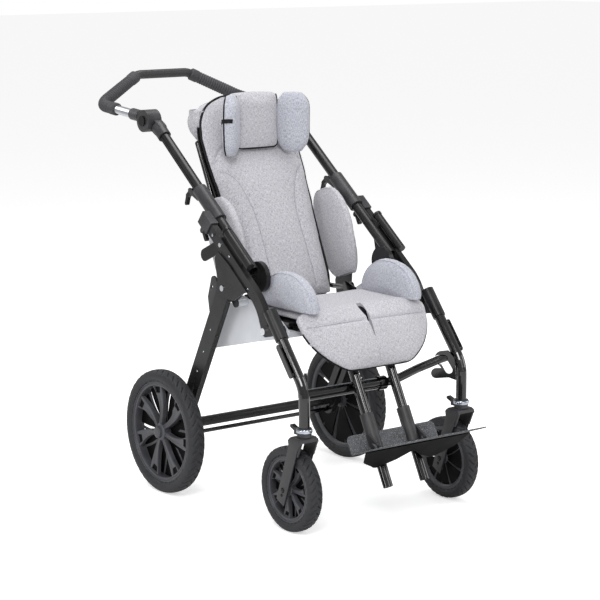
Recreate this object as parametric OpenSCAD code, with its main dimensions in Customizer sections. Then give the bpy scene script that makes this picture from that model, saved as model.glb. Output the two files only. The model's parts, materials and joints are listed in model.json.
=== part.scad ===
// Folding buggy for a child with special needs: chassis, seat unit, push handle, casters and footrest.
// The occupant faces -Y, +X is the occupant's left, the wheels stand on z = 0.

/* [Wheels] */
// Radius of a rear wheel over its tyre
rear_wheel_r = 150; // [130:1:160]
// Width of a rear tyre
rear_tyre_w = 40; // [32:1:42]
// Distance of a rear wheel's middle from the centre plane
rear_wheel_x = 276.5; // [275:0.5:300]
// Radius of a front wheel over its tyre
front_wheel_r = 98; // [85:1:102]
// Width of a front tyre
front_tyre_w = 36; // [28:1:37]
// Distance of a caster stem and its wheel from the centre plane
caster_x = 231.5; // [226:0.5:232]
// Distance between the axles along Y
wheelbase = 451; // [440:1:480]
// Distance of a caster stem in front of its wheel's axle
caster_trail = 48.4; // [44:0.1:56]
// Radial thickness of a rear tyre
rear_tyre_h = 27; // [20:1:32]
// Radial thickness of a front tyre
front_tyre_h = 21; // [16:1:25]
// Number of spokes in each wheel
spoke_count = 7; // [5:1:9]

/* [Frame tubes] */
// Outer radius of a front leg tube
leg_r = 12.5; // [10:0.25:13]
// Wall thickness of the tubes
tube_wall = 1.8; // [1.2:0.1:3]
// Height of the vertex where a front leg bends back
leg_bend_z = 333; // [310:1:350]
// Slope of the upper part of a front leg over the horizontal
leg_slope = 51.3; // [48:0.1:54]
// Length of the upper part of a front leg
leg_upper_len = 203; // [190:1:204]
// Distance of a side tube's middle from the centre plane
side_x = 228.5; // [228:0.25:229.5]
// Thickness of a side tube across the buggy
side_t = 15; // [10:0.5:15]
// Depth of a side tube
side_h = 28; // [22:1:30]
// Slope of the side tubes and push tubes over the horizontal
side_slope = 37.7; // [35:0.1:40]
// Depth of a rear leg
rear_leg_w = 45; // [38:1:46]
// Radius of the tube between the rear legs
axle_tube_r = 12; // [9:0.5:14]
// Angle through which the rear frame folds forward
fold_angle = 45; // [30:1:46]

/* [Push handle] */
// Outer radius of a push tube
push_r = 12.4; // [10:0.1:12.4]
// Outer radius of the clamp sleeve
sleeve_r = 17.4; // [15:0.2:17.4]
// Radius of the round handle joints
hub_r = 27; // [22:1:30]
// Radius of a handle joint's button
button_r = 12.5; // [8:0.5:15]
// Distance that a button travels
button_travel = 4; // [2:0.5:5]
// Radius of the handle's tube
handle_r = 11; // [9:0.5:12]
// Radius over a grip
grip_r = 16; // [14:0.5:18]

/* [Seat] */
// Height of the seat cushion's top
seat_z = 484; // [478:1:490]
// Thickness of the seat cushion
seat_pad_h = 22; // [16:1:26]
// Half the width of the seat cushion
seat_half_w = 168; // [150:1:172]
// Distance of a silver side plate from the centre plane
pan_x = 190; // [186:0.5:194]
// Angle of the back from the vertical
back_tilt = 26; // [22:0.5:30]
// Length of the back
back_len = 535; // [500:1:560]
// Half the width of the back at the shoulders
back_half_w = 143; // [130:1:144]
// Thickness of the back cushion
back_pad_h = 42; // [34:1:46]
// Thickness of a thorax pad
lateral_t = 34; // [26:1:36]
// Distance of a thorax pad's inner face from the centre plane
lateral_x = 146; // [145:0.5:148]
// Thickness of a hip pad
hip_t = 46; // [36:1:48]
// Distance of a hip pad's middle from the centre plane
hip_x = 150; // [146:0.5:151]

/* [Footrest] */
// Distance of a footrest tube from the centre plane
foot_tube_x = 54; // [48:0.5:60]
// Radius of a footrest tube
foot_tube_r = 11.5; // [9:0.25:12]
// Angle of the footrest tubes from the vertical
foot_tube_tilt = 27.4; // [24:0.1:30]
// Radius of the clamp sleeves on the footrest tubes
foot_clamp_r = 15.5; // [14:0.25:17]
// Length of the clamp sleeves on the footrest tubes
foot_clamp_len = 82; // [70:1:90]
// Half the width of the foot plate
foot_half_w = 137; // [125:1:140]
// Length of the foot plate from its hinge to its toe edge
foot_len = 156; // [140:1:170]
// Angle that the foot plate rises towards the toes
foot_pitch = 19.6; // [15:0.1:25]
// Height of the heel board
heel_h = 42; // [34:1:50]

/* [Clearances] */
// Gap between parts that move past each other
gap = 0.3; // [0.2:0.05:0.5]
// Radial clearance of a pin in its bore
run = 0.05; // [0.02:0.01:0.1]

/* [Hidden] */
$fn = 64;

// Colours of the parts
anthracite = [0.16, 0.16, 0.17];
gloss_black = [0.05, 0.05, 0.055];
dark_plastic = [0.22, 0.22, 0.24];
tyre_grey = [0.13, 0.13, 0.14];
silver = [0.74, 0.75, 0.78];
fabric_grey = [0.79, 0.78, 0.81];
bright = [0.82, 0.83, 0.85];

// How far a flat side stays inside the round that it runs into
ease = 0.03;

// Axles, with y = 0 midway between them; the part's own origin is origin_y further back
rear_axle_y = wheelbase / 2;
front_axle_y = -wheelbase / 2;
stem_y = front_axle_y - caster_trail;
axle_pos = [rear_axle_y, rear_wheel_r];
front_pin = [front_axle_y, front_wheel_r];

// Unit vectors in the YZ plane are given as [y, z]
side_dir = [cos(side_slope), sin(side_slope)];
side_nrm = [-sin(side_slope), cos(side_slope)];
leg_dir = [cos(leg_slope), sin(leg_slope)];
foot_dir = [sin(foot_tube_tilt), cos(foot_tube_tilt)];
foot_nrm = [-cos(foot_tube_tilt), sin(foot_tube_tilt)];
back_dir = [sin(back_tilt), cos(back_tilt)];
back_nrm = [-cos(back_tilt), sin(back_tilt)];
sole_dir = [-cos(foot_pitch), sin(foot_pitch)];
sole_nrm = [sin(foot_pitch), cos(foot_pitch)];

// Front legs, as seen from the side
leg_bottom = [stem_y, 240];
leg_vertex = [stem_y, leg_bend_z];
leg_top = leg_vertex + leg_upper_len * leg_dir;
leg_bend_r = 75;
socket_r = leg_r + 3;
socket_len = 74;
socket_bolt = [-134, 445];
socket_bolt_r = 4;
ear_t = 3.5;

// Side tubes: vertex, upper length and bend, as seen from the side
side_knee = [-110.8, 503.7];
side_upper_len = 271;
side_bend_r = 120;
side_in = side_x - side_t / 2;
side_out = side_x + side_t / 2;
rivet_at = 192;
rivet_r = 3;
push_x = side_in - 0.1 - sleeve_r;

// Cross bar between the front legs
cross_at = [-216, 304];
sleeve_x0 = 196;
sleeve_x1 = 38;
sleeve_bore = 10.3;

// Hinge of the rear frame, its plates and the rear legs
fold_pin = [28.9, 521.8];
fold_pin_r = 5;
plate_t = 3.7;
plate_lap = 5;
link_bolt = [-19, 571.5];
seat_bush = [4, 488];
guide_disc = [-40, 552];
guide_disc_x = 177;
rear_leg_x0 = side_in + gap;
rear_leg_x1 = side_out - gap;
leg_below_axle = 8;
stub_r = 8;
axle_tube_pos = [218, 160];
brake_pos = [216, 136];
brake_bar_r = 5;
brake_end_r = 3;
rear_dir = unit(axle_pos - fold_pin);
hub_cap_x = 301;

// Push tubes: a line inboard of the side tubes and just above theirs
push_base = [0, 603.5];
push_s0 = -57;
push_s1 = 438;
sleeve_s0 = 112;
sleeve_s1 = 216;
cap_s0 = 246;
cap_s1 = 288;
cap_wall = 3.5;
lever_s = 238;
lever_d = -24;
lever_pin_r = 2.5;
lever_half = 4.2;
release_half = 4;
release_s = 268;
release_d = -27;

// Bar sockets: short stubs above the side tubes
bar_socket_x = 224;
bar_socket_r = 10;
bar_socket_d = 31;
bar_socket_s0 = 86;
bar_socket_s1 = 208;

// Handle
hub_pos = push_base + 468 * side_dir - 6.5 * side_nrm;
hub_in = push_x - 11;
hub_mid = push_x + 10.5;
hub_out = push_x + 26.5;
handle_x = push_x + 11.5;
handle_start = [handle_x, hub_pos[0] + 31, hub_pos[1] + 9];
handle_bend = [handle_x, 592, 909.5];
handle_corner = [76, 637, 977];
handle_bend_r = 40;
handle_dir = unit(handle_bend - handle_start);
hub_pin_r = 7;
hub_seat = 6;
hub_neck = [handle_start[1], handle_start[2]] - 8 * [handle_dir[1], handle_dir[2]];
grip_start_y = 515;
grip_reach = 152;

// Casters
fork_gap = front_tyre_w / 2 + 2;
fork_t = 3.5;
fork_w = 30;
crown_z0 = 218;
crown_z1 = 227.7;
collar_z0 = crown_z1 + gap;
collar_z1 = 248;
formed_fit = 0.2;
stem_r = 8;
stem_top = 268;
lock_half = 5;
lock_y = 24;
lock_z = 238;
lock_pin_r = 2;
front_pin_r = 5;
blade_top = [stem_y + 10, 208];
blade_end = front_pin + 19 * unit(front_pin - blade_top);

// Seat
hinge_pos = [57, 480];
hinge_pin_r = 6;
hinge_x = 147;
hinge_t = 4;
back_base = [69, 465];
pan_t = 2;
pan_in = pan_x - pan_t;
base_top = seat_z - seat_pad_h - gap;
base_t = 9;
base_front = -174;
box_z = 442;
base_rear = 30;
back_plane = 20;
shell_t = 4;
back_arm_x = 158;
lateral_s = 150;
lateral_d = -56;
lateral_rod_r = 5;
lateral_out = lateral_x + lateral_t;
strap_z = 886;
strap_y0 = 269.3;
head_y = 229;
head_z = 812;
tongue_len = 128;
tongue_drop = 61;
seat_arc_r = 22;
hook_dir = unit([0.65, 0.76]);
hook_hi = [46, 344];
hook_lo = [30, 317];
hook_end = [60, 308];
seat_rear = 10;
seat_front = -196;

// Footrest tubes: a line through the tubes' lower ends
foot_tube_end = [-352, 99.3];
foot_tube_top = seat_z - seat_pad_h - 11.1;
foot_tube_len = (foot_tube_top - foot_tube_end[1]) / cos(foot_tube_tilt);
foot_clamp_s0 = 92;
foot_axis_off = 21;
foot_axis = foot_tube_end + (foot_clamp_s0 + 3) * foot_dir + foot_axis_off * foot_nrm;
foot_pin_r = 3.5;
foot_lug0 = 12.8;
foot_lug1 = 19;
foot_sheet = 3;
foot_back = 18;
sole_drop = 9;
heel_step = 25;
heel_half_w = foot_half_w - 9;
notch_half = 19;
notch_front = 20;
heel_base = sole_at(-foot_back, -sole_drop) - foot_sheet * foot_nrm;
bracket_top = [-391.6, 203.4];

// Place of the origin, midway between the toe edge and the back of the handle
toe = foot_axis + foot_len * sole_dir;
toe_y = toe[0] - (foot_sheet + sole_drop) * sole_nrm[0];
grip_dir = unit(handle_corner - handle_bend);
handle_rear = handle_bend[1] + grip_reach * grip_dir[1] + grip_r * sqrt(1 - grip_dir[1] * grip_dir[1]);
origin_y = (toe_y + handle_rear) / 2;

module place() {
    translate([0, -origin_y, 0]) children();
}

module both() {
    children();
    mirror([1, 0, 0]) children();
}

// Draws its children, drawn for the occupant's left, on side 1 (left) or -1 (right)
module on_side(side) {
    if (side > 0) children();
    else mirror([1, 0, 0]) children();
}

// Extrudes a flat shape drawn in [y, z] from x0 to x1
module slab(x0, x1) {
    multmatrix([[0, 0, 1, x0], [1, 0, 0, 0], [0, 1, 0, 0], [0, 0, 0, 1]])
        linear_extrude(height = x1 - x0) children();
}

// Turns its children about an axis along X through a point [y, z]
module about(p, a) {
    translate([0, p[0], p[1]]) rotate([a, 0, 0]) translate([0, -p[0], -p[1]]) children();
}

// A straight bar with round ends, drawn flat; its sides lie just inside its ends' circles
module bar2d(a, b, w) {
    v = b - a;
    translate(a) rotate(atan2(v[1], v[0])) translate([0, ease - w / 2]) square([norm(v), w - 2 * ease]);
    translate(a) circle(d = w);
    translate(b) circle(d = w);
}

// A round rod between two points in space
module rod(a, b, r) {
    v = b - a;
    translate(a) rotate([0, acos(v[2] / norm(v)), atan2(v[1], v[0])]) cylinder(r = r, h = norm(v));
}

// A round rod along X
module xrod(x0, x1, p, r) {
    translate([x0, p[0], p[1]]) rotate([0, 90, 0]) cylinder(r = r, h = x1 - x0);
}

function unit(v) = v / norm(v);
function turn(a, b) = acos(max(-1, min(1, a * b)));
function yz(x, p) = [x, p[0], p[1]];

// A straight hollow tube
module pipe(a, b, r, wall) difference() {
    rod(a, b, r);
    rod(a - unit(b - a), b + unit(b - a), r - wall);
}

// Points on a frame line: distance s along a direction and d across it
function along(base, dir, nrm, s, d = 0) = base + s * dir + d * nrm;
function push_at(s, d = 0) = along(push_base, side_dir, side_nrm, s, d);
function side_at(s, d = 0) = along(side_knee, side_dir, side_nrm, s, d);
function back_at(s, d = 0) = along(back_base, back_dir, back_nrm, s, d);
function foot_at(s, d = 0) = along(foot_tube_end, foot_dir, foot_nrm, s, d);
function sole_at(s, d = 0) = along(foot_axis, sole_dir, sole_nrm, s, d);
function leg_at(s, d = 0) = along(leg_vertex, leg_dir, [-leg_dir[1], leg_dir[0]], s, d);

// A closed skin over loops of points; with ring set, the last loop meets the first again
module skin(loops, ring = false) {
    n = len(loops[0]);
    rows = len(loops);
    last = (rows - 1) * n;
    polyhedron(
        points = [for (l = loops, p = l) p],
        faces = concat(
            [for (i = [0 : rows - (ring ? 1 : 2)], j = [0 : n - 1])
                [i * n + (j + 1) % n, (i + 1) % rows * n + j, i * n + j]],
            [for (i = [0 : rows - (ring ? 1 : 2)], j = [0 : n - 1])
                [(i + 1) % rows * n + (j + 1) % n, (i + 1) % rows * n + j, i * n + (j + 1) % n]],
            ring ? [] : [for (j = [1 : n - 2]) [j + 1, j, 0]],
            ring ? [] : [for (j = [1 : n - 2]) [last + j, last + j + 1, last]]
        )
    );
}

// Loops of a padded form along t from 0 to 1: half(t) is its half width, front(t) and rear(t) its
// thickness each way, and dip(x, t) how far a sewn channel draws the front in
function pad_loops(half, front, rear, dip, rows, sides) = [for (i = [0 : rows])
    let (t = (1 - cos(180 * i / rows)) / 2)
    [for (j = [0 : sides - 1])
        let (c = cos(360 * j / sides), s = sin(360 * j / sides))
        let (x = half(t) * sign(c) * pow(abs(c), 0.6), v = sign(s) * pow(abs(s), 0.75))
        [x, t, s > 0 ? v * front(t) - dip(x, t) : v * rear(t)]]];
no_dip = function(x, t) 0;

// A padded form lying along +Y with its front towards +Z
module pillow(length, half, front, rear, dip = no_dip, rows = 14, sides = 22) {
    skin([for (l = pad_loops(half, front, rear, dip, rows, sides)) [for (p = l) [p[0], p[1] * length, p[2]]]]);
}

// A padded form that follows a bent line: spine(t) gives [y, z] and the slope there
module draped_pad(spine, half, front, rear, dip = no_dip, rows = 26, sides = 30) {
    skin([for (l = pad_loops(half, front, rear, dip, rows, sides)) [for (p = l)
        let (q = spine(p[1]))
        [-p[0], q[0] - sin(q[2]) * p[2], q[1] + cos(q[2]) * p[2]]]]);
}

// Points along a path whose corners are rounded to the radius r
function route(p, r, steps = 6) = concat([p[0]], [for (i = [1 : 1 : len(p) - 2])
    let (u = unit(p[i] - p[i - 1]), v = unit(p[i + 1] - p[i]))
    let (t = turn(u, v), c = p[i] + unit(v - u) * r / cos(t / 2))
    let (e = unit(p[i] - u * r * tan(t / 2) - c))
    for (k = [0 : steps]) c + r * (cos(t * k / steps) * e + sin(t * k / steps) * u)], [p[len(p) - 1]]);

// Loops of a round tube about a route
function tube_loops(q, r, across, sides) = [for (i = [0 : len(q) - 1])
    let (t = unit(q[min(i + 1, len(q) - 1)] - q[max(i - 1, 0)]))
    let (e = unit(across - (across * t) * t))
    let (n = cross(e, t))
    [for (j = [0 : sides - 1]) q[i] + r * (cos(360 * j / sides) * e + sin(360 * j / sides) * n)]];

// A bent tube with the bore of radius bore_r, or a bent rod where that is 0
module bent_tube(p, r, bend_r, bore_r = 0, across = [1, 0, 0], sides = 24) {
    q = route(p, bend_r);
    outer = tube_loops(q, r, across, sides);
    inner = tube_loops(q, max(bore_r, 1), across, sides);
    skin(bore_r > 0 ? concat(outer, [for (i = [len(q) - 1 : -1 : 0]) inner[i]]) : outer, bore_r > 0);
}

// Fullness of a padded form along its length: rounded at both ends, from low up to 1
function plump(t, power, low = 0.25) = max(low, pow(1 - pow(abs(2 * t - 1), power), 0.5));

// Puts a pillow drawn flat onto a plane: its +Y runs along dir and its +Z along nrm
module lay(base, dir, nrm, x = 0) {
    multmatrix([[1, 0, 0, x], [0, dir[0], nrm[0], base[0]], [0, dir[1], nrm[1], base[1]], [0, 0, 0, 1]])
        children();
}

// Distance of the sewn channel from the edge of a channel w wide, as a smooth dip
function groove(d, w, depth) = abs(d) >= w ? 0 : depth * (1 + cos(180 * d / w)) / 2;

// A flat bar of width w along the side tube's line from s0 to s1, drawn flat
module side_strip(s0, s1, w) {
    translate(side_at(s0)) rotate(side_slope) translate([0, -w / 2]) square([s1 - s0, w]);
}

// Side view of a side tube of depth w: straight, bent at the knee, and down to the socket's bolt
side_low = unit(side_knee - socket_bolt);
side_turn = turn(side_low, side_dir);
side_cut = side_bend_r * tan(side_turn / 2);
side_bend_c = side_at(side_cut, -side_bend_r);
module side_outline(w) {
    side_strip(side_cut - 0.5, side_upper_len, w - 2 * ease);
    intersection() {
        translate(side_bend_c) difference() {
            circle(r = side_bend_r + w / 2, $fn = 180);
            circle(r = side_bend_r - w / 2, $fn = 180);
        }
        polygon([
            side_bend_c, side_bend_c + 3 * (side_at(side_cut) - side_bend_c),
            side_knee + 2 * (side_knee - side_bend_c), side_bend_c + 3 * (side_knee - side_cut * side_low - side_bend_c)
        ]);
    }
    bar2d(socket_bolt, side_knee - (side_cut - 0.5) * side_low, w - 2 * ease);
}

// Path of a front leg, and the rods along it that other parts are cut with
leg_path = [yz(caster_x, leg_bottom), yz(caster_x, leg_vertex), yz(caster_x, leg_top)];
module leg_rods() {
    q = route(leg_path, leg_bend_r, 4);
    for (i = [1 : len(q) - 1]) rod(q[i - 1], q[i], leg_r + gap);
}

module side_tubes() color(anthracite) place() both() difference() {
    slab(side_in, side_out) side_outline(side_h);
    slab(side_in + tube_wall, side_out - tube_wall) difference() {
        side_strip(side_cut + 6, side_upper_len - 12, side_h - 2 * tube_wall);
        translate(side_at(rivet_at)) circle(r = 6);
    }
    xrod(side_in - 1, side_out + 1, socket_bolt, socket_bolt_r + run);
    xrod(side_in - 1, side_out + 1, side_at(rivet_at), rivet_r + run);
}

module front_legs() color(gloss_black) place() both()
    bent_tube(leg_path, leg_r, leg_bend_r, leg_r - tube_wall);

// Sleeve on the top of a front leg, with two ears that hold the side tube's lower end
module leg_sockets() color(anthracite) place() both() difference() {
    union() {
        rod(yz(caster_x, leg_at(leg_upper_len - socket_len)), yz(caster_x, leg_at(leg_upper_len)), socket_r);
        for (x = [side_in - ear_t, side_out])
            slab(x, x + ear_t) bar2d(leg_at(leg_upper_len - 50), socket_bolt, 22);
    }
    rod(yz(caster_x, leg_at(100)), yz(caster_x, leg_at(leg_upper_len + 1)), leg_r + run);
    xrod(side_in - 9, side_out + 9, socket_bolt, socket_bolt_r + run);
}

// Bearing collar on the lower end of a front leg, with the ears and pin of the swivel lock
module caster_collars() color(dark_plastic) place() both() translate([caster_x, stem_y, 0])
    difference() {
        union() {
            translate([0, 0, collar_z0]) cylinder(r = leg_r + 4, h = collar_z1 - collar_z0);
            cylinder(r = leg_r - tube_wall - formed_fit, h = stem_top + 2);
            for (x = [-lock_half - gap - 3, lock_half + gap])
                translate([x, leg_r, collar_z0 + 2]) cube([3, lock_y + 4 - leg_r, 15]);
            xrod(-lock_half - 3, lock_half + 3, [lock_y, lock_z], lock_pin_r);
        }
        translate([0, 0, -1]) cylinder(r = stem_r + run, h = stem_top + 9);
        translate([0, 0, -1]) cylinder(r = leg_r + 30, h = collar_z0 + 1);
        translate([0, 0, leg_bottom[1]]) difference() {
            cylinder(r = leg_r + run, h = 50);
            translate([0, 0, -1]) cylinder(r = leg_r - tube_wall - formed_fit, h = 52);
        }
    }

// Cross bar behind the front legs: a thick sleeve on one side, a thinner bent tube on the other
module cross_sleeve() color(gloss_black) place() difference() {
    union() {
        xrod(-sleeve_x0, sleeve_x1, cross_at, sleeve_bore + 3);
        xrod(sleeve_x1 - 14, sleeve_x1 + 6, cross_at, sleeve_bore + 6);
    }
    xrod(-60, sleeve_x1 + 30, cross_at, sleeve_bore);
}
module cross_tube() color(gloss_black) place() bent_tube([
    yz(-50, cross_at), yz(70, cross_at), yz(145, cross_at + [0, 19]), yz(198, cross_at + [-17, 37]),
    yz(caster_x - 7.6, cross_at + [-28.4, 45.2])
], sleeve_bore - 0.3, 45, sleeve_bore - 0.3 - tube_wall, [0, 1, 0], 16);

// Plates that carry the rear frame's hinge on both sides of the rear leg
module hinge_plates() color(anthracite) place() both() difference() {
    union() {
        slab(side_out, side_out + plate_t) difference() {
            union() {
                translate(fold_pin) circle(r = 24);
                polygon([
                    [45, 605], [60, 590], [48, 535], fold_pin + [10, -22], [-15, 498], [-52, 520],
                    [-74, 528], [-60, 543]
                ]);
            }
            above_side_edge();
            for (r = [33, 38, 43]) arc_slot(r);
        }
        slab(side_in - plate_t, side_in) {
            bar2d(fold_pin, link_bolt, 34);
            bar2d(fold_pin, seat_bush, 20);
            polygon([link_bolt, guide_disc + [-8, -18], seat_bush, fold_pin]);
        }
        xrod(guide_disc_x + 12, side_in, guide_disc + [2, -24], 6);
        xrod(guide_disc_x, guide_disc_x + 12, guide_disc, 36);
    }
    xrod(side_in - 9, side_out + 9, fold_pin, fold_pin_r + run);
    xrod(side_in - 9, side_out + 9, link_bolt, 3 + run);
}

// Everything above a line just inside the side tube's lower edge
module above_side_edge() {
    translate(side_at(0, plate_lap - side_h / 2)) rotate(side_slope) translate([-30, 0]) square([400, 200]);
    translate(side_knee - [60, 0]) square([30, 90]);
}

// Slot along an arc about the hinge, for the look of the pressed plate
module arc_slot(r) {
    translate(fold_pin) difference() {
        circle(r = r + 1);
        circle(r = r - 1);
        rotate(-18) translate([-200, -200]) square([400, 200]);
        rotate(48) translate([-200, 0]) square([400, 200]);
    }
}

module hinge_bolts() color(bright) place() both() {
    xrod(side_in - plate_t - 0.5, side_out + plate_t, fold_pin, fold_pin_r);
    xrod(side_out + plate_t, side_out + plate_t + 2.5, fold_pin, 7);
}

// Rivets of the side tubes, link plates and leg sockets
module frame_bolts() color(bright) place() both() {
    xrod(side_in - 0.5, side_out + 2, side_at(rivet_at), 3);
    xrod(side_out, side_out + 2, side_at(rivet_at), 5);
    xrod(side_in - ear_t, side_out + ear_t + 4, socket_bolt, socket_bolt_r);
    xrod(side_out + ear_t, side_out + ear_t + 4, socket_bolt, 8);
    xrod(side_in - plate_t - 0.8, side_in, link_bolt, 3);
}

// Sleeves that clamp the push tubes, with a cap over each side tube's upper end
module clamp_sleeves() color(dark_plastic) place() both() difference() {
    union() {
        rod(yz(push_x, push_at(sleeve_s0)), yz(push_x, push_at(sleeve_s1)), sleeve_r);
        difference() {
            slab(side_in - cap_wall, side_out + cap_wall) side_strip(cap_s0, cap_s1, side_h + 2 * cap_wall);
            slab(side_in - run, side_out + run) side_strip(cap_s0 - 1, side_upper_len + run, side_h + 2 * run);
        }
        for (x = [push_x - lever_half - 3.3, push_x + lever_half + gap])
            slab(x, x + 3) bar2d(push_at(sleeve_s1 - 14, -sleeve_r + 3), push_at(lever_s, lever_d), 13);
        xrod(push_x - lever_half - 3, push_x + lever_half + 3, push_at(lever_s, lever_d), lever_pin_r);
        for (x = [side_x - release_half - 3.3, side_x + release_half + gap]) slab(x, x + 3)
            bar2d(side_at(release_s, -side_h / 2 - 6.2), side_at(release_s, release_d), 12);
        xrod(side_x - release_half - 3, side_x + release_half + 3, side_at(release_s, release_d), lever_pin_r);
    }
    rod(yz(push_x, push_at(sleeve_s0 - 1)), yz(push_x, push_at(lever_s + 40)), push_r + run);
}

// Curved lever that clamps a push tube, under the sleeve's upper end
module clamp_lever(side) color(gloss_black) place() on_side(side) difference() {
    slab(push_x - lever_half, push_x + lever_half) {
        bar2d(push_at(lever_s, lever_d), push_at(lever_s + 4, lever_d - 20), 11);
        bar2d(push_at(lever_s + 4, lever_d - 20), push_at(lever_s - 3, lever_d - 39), 9);
    }
    xrod(push_x - 20, push_x + 20, push_at(lever_s, lever_d), lever_pin_r + run);
}

// The pair of small levers under the caps that let the rear frame fold
module release_levers() color(gloss_black) place() both() difference() {
    slab(side_x - release_half, side_x + release_half)
        bar2d(side_at(release_s, release_d), side_at(release_s - 20, release_d - 9), 10);
    xrod(side_x - 20, side_x + 20, side_at(release_s, release_d), lever_pin_r + run);
}

// Plates with a slanted slot behind the front legs, for tie-down hooks
module tie_down_brackets() color(gloss_black) place() difference() {
    both() difference() {
        multmatrix([
            [-hook_dir[0], 0, hook_dir[1], caster_x], [hook_dir[1], 0, hook_dir[0], stem_y], [0, 1, 0, 0],
            [0, 0, 0, 1]
        ]) translate([0, 0, -2.5]) linear_extrude(height = 5) difference() {
            union() {
                translate(hook_hi) circle(r = 18);
                translate(hook_lo) circle(r = 18);
                polygon([
                    [8, 292], hook_lo + [0, -18], hook_end + [0, -12], hook_end + [0, 12], hook_lo + [17, 4],
                    hook_hi + [17, -6], hook_hi + [0, 18], [32, 364], [10, 338]
                ]);
                translate(hook_end) circle(r = 12);
            }
            bar2d(hook_lo, hook_hi, 18);
        }
        leg_rods();
    }
    xrod(-sleeve_x0 - run, -100, cross_at, sleeve_bore + 3 + run);
    rod(yz(170, cross_at + [-8, 28]), yz(caster_x, cross_at + [-31, 48]), sleeve_bore + 1.4);
}

// Strap loops on the outer side of the front legs, just above the bend
module leg_guards() color(gloss_black) place() both() difference() {
    union() {
        slab(caster_x + leg_r + 5, caster_x + leg_r + 8) bar2d(leg_at(40), leg_at(112), 13);
        for (s = [40, 112]) xrod(caster_x, caster_x + leg_r + 6, leg_at(s), 5);
    }
    leg_rods();
}

// Short tube stubs above the side tubes, open at the ringed top end
module bar_sockets() color(anthracite) place() both() difference() {
    union() {
        rod(yz(bar_socket_x, side_at(bar_socket_s0, bar_socket_d)),
            yz(bar_socket_x, side_at(bar_socket_s1, bar_socket_d)), bar_socket_r);
        rod(yz(bar_socket_x, side_at(bar_socket_s1 - 6, bar_socket_d)),
            yz(bar_socket_x, side_at(bar_socket_s1, bar_socket_d)), bar_socket_r + 1.5);
        slab(side_x - 2, side_x + 2) polygon([
            side_at(105, side_h / 2), side_at(110, bar_socket_d), side_at(180, bar_socket_d),
            side_at(188, side_h / 2)
        ]);
    }
    rod(yz(bar_socket_x, side_at(bar_socket_s0 + 4, bar_socket_d)),
        yz(bar_socket_x, side_at(bar_socket_s1 + 1, bar_socket_d)), bar_socket_r - 2.5);
}

// Tray of sheet metal under the seat, with bushes that rest on the frame
module seat_pan() color(silver) place() {
    both() {
        slab(pan_in, pan_x) polygon([
            [-166, 441], [-136, 462], [-82, 481], [16, 500], [37, 493], [130, 440], [162, 431],
            [190, 375], [134, 358], [80, 374], [-160, 428]
        ]);
        xrod(pan_x, side_in - plate_t, seat_bush, 8);
        xrod(pan_x, side_in - ear_t, socket_bolt, 7);
    }
    slab(-pan_in, pan_in) polygon([
        [-160, 428], [80, 374], [134, 358], [190, 375], [190, 377.2], [134, 360.2], [80, 376.2], [-158, 430],
        [-158, 441], [-160, 441]
    ]);
}

// Base of the seat between the tray's sides, with the footrest tubes' holders
module seat_base() color(gloss_black) place() {
    slab(-pan_in, pan_in) translate([-158, base_top - base_t]) square([base_rear + 158, base_t]);
    both() {
        slab(128, 170) difference() {
            translate([-178, box_z]) square([88, base_top - base_t - box_z + 1]);
            translate([-150, box_z + 3]) square([14, 5]);
        }
        difference() {
            slab(foot_tube_x - 17, foot_tube_x + 17)
                translate([-184, box_z]) square([34, base_top - base_t - box_z + 1]);
            rod(yz(foot_tube_x, foot_at(300)), yz(foot_tube_x, foot_at(foot_tube_len)), foot_tube_r + run);
        }
    }
    slab(-seat_half_w, seat_half_w) translate([base_front, base_top - 3]) square([-157 - base_front, 3]);
}

// Upright plates on the tray's sides behind the seat
module ear_plates() color(dark_plastic) place() both() slab(pan_x, pan_x + 4) difference() {
    union() {
        translate([131, 522]) circle(r = 11);
        polygon([[120, 522], [92, 505], [94, 470], [118, 448], [140, 432], [150, 445], [156, 480], [142, 523]]);
    }
    translate([138, 506]) circle(r = 4);
}

// Brackets on the seat base with the pins that the back turns on
module seat_hinges() color(gloss_black) place() both() {
    slab(hinge_x, hinge_x + hinge_t) difference() {
        union() {
            polygon([[12, base_top], [base_rear, base_top], [66, 468], [52, 493], [24, 484]]);
            translate(hinge_pos) circle(r = 14);
        }
        translate([30, 473]) circle(r = 4);
    }
    xrod(hinge_x, hinge_x + 17, hinge_pos, hinge_pin_r);
}

// Seat cushion: a flat crowned pad whose front bends down into a broad tongue
seat_mid_z = base_top + gap + seat_pad_h / 2;
seat_arc_y = seat_front + seat_arc_r;
seat_flat_len = seat_rear - seat_arc_y;
seat_arc_len = seat_arc_r * tongue_drop * PI / 180;
seat_len = seat_flat_len + seat_arc_len + tongue_len;
module seat_cushion() color(fabric_grey) place() draped_pad(
    function(t) let (s = t * seat_len, a = (s - seat_flat_len) / seat_arc_r * 180 / PI,
        e = s - seat_flat_len - seat_arc_len,
        c = [seat_arc_y, seat_mid_z - seat_arc_r], d = [-cos(tongue_drop), -sin(tongue_drop)])
        s < seat_flat_len ? [seat_rear - s, seat_mid_z, 0]
        : e < 0 ? [c[0] - seat_arc_r * sin(a), c[1] + seat_arc_r * cos(a), a]
        : [c[0] - seat_arc_r * sin(tongue_drop) + e * d[0], c[1] + seat_arc_r * cos(tongue_drop) + e * d[1],
            tongue_drop],
    function(t) t < 0.5 ? seat_half_w - 8 * pow(1 - 2 * t, 3) : seat_half_w + 8 - 82 * pow(max(0, (t - 0.42) / 0.58), 3.4)
        - 8 * (1 - (t - 0.5) * 2),
    function(t) (seat_pad_h / 2 + (t > 0.5 ? 6 * sin(180 * min(1, (t - 0.5) * 2)) : 0)) * plump(t, 8, 0.4),
    function(t) seat_pad_h / 2 * plump(t, 14, 0.6)
);

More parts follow.
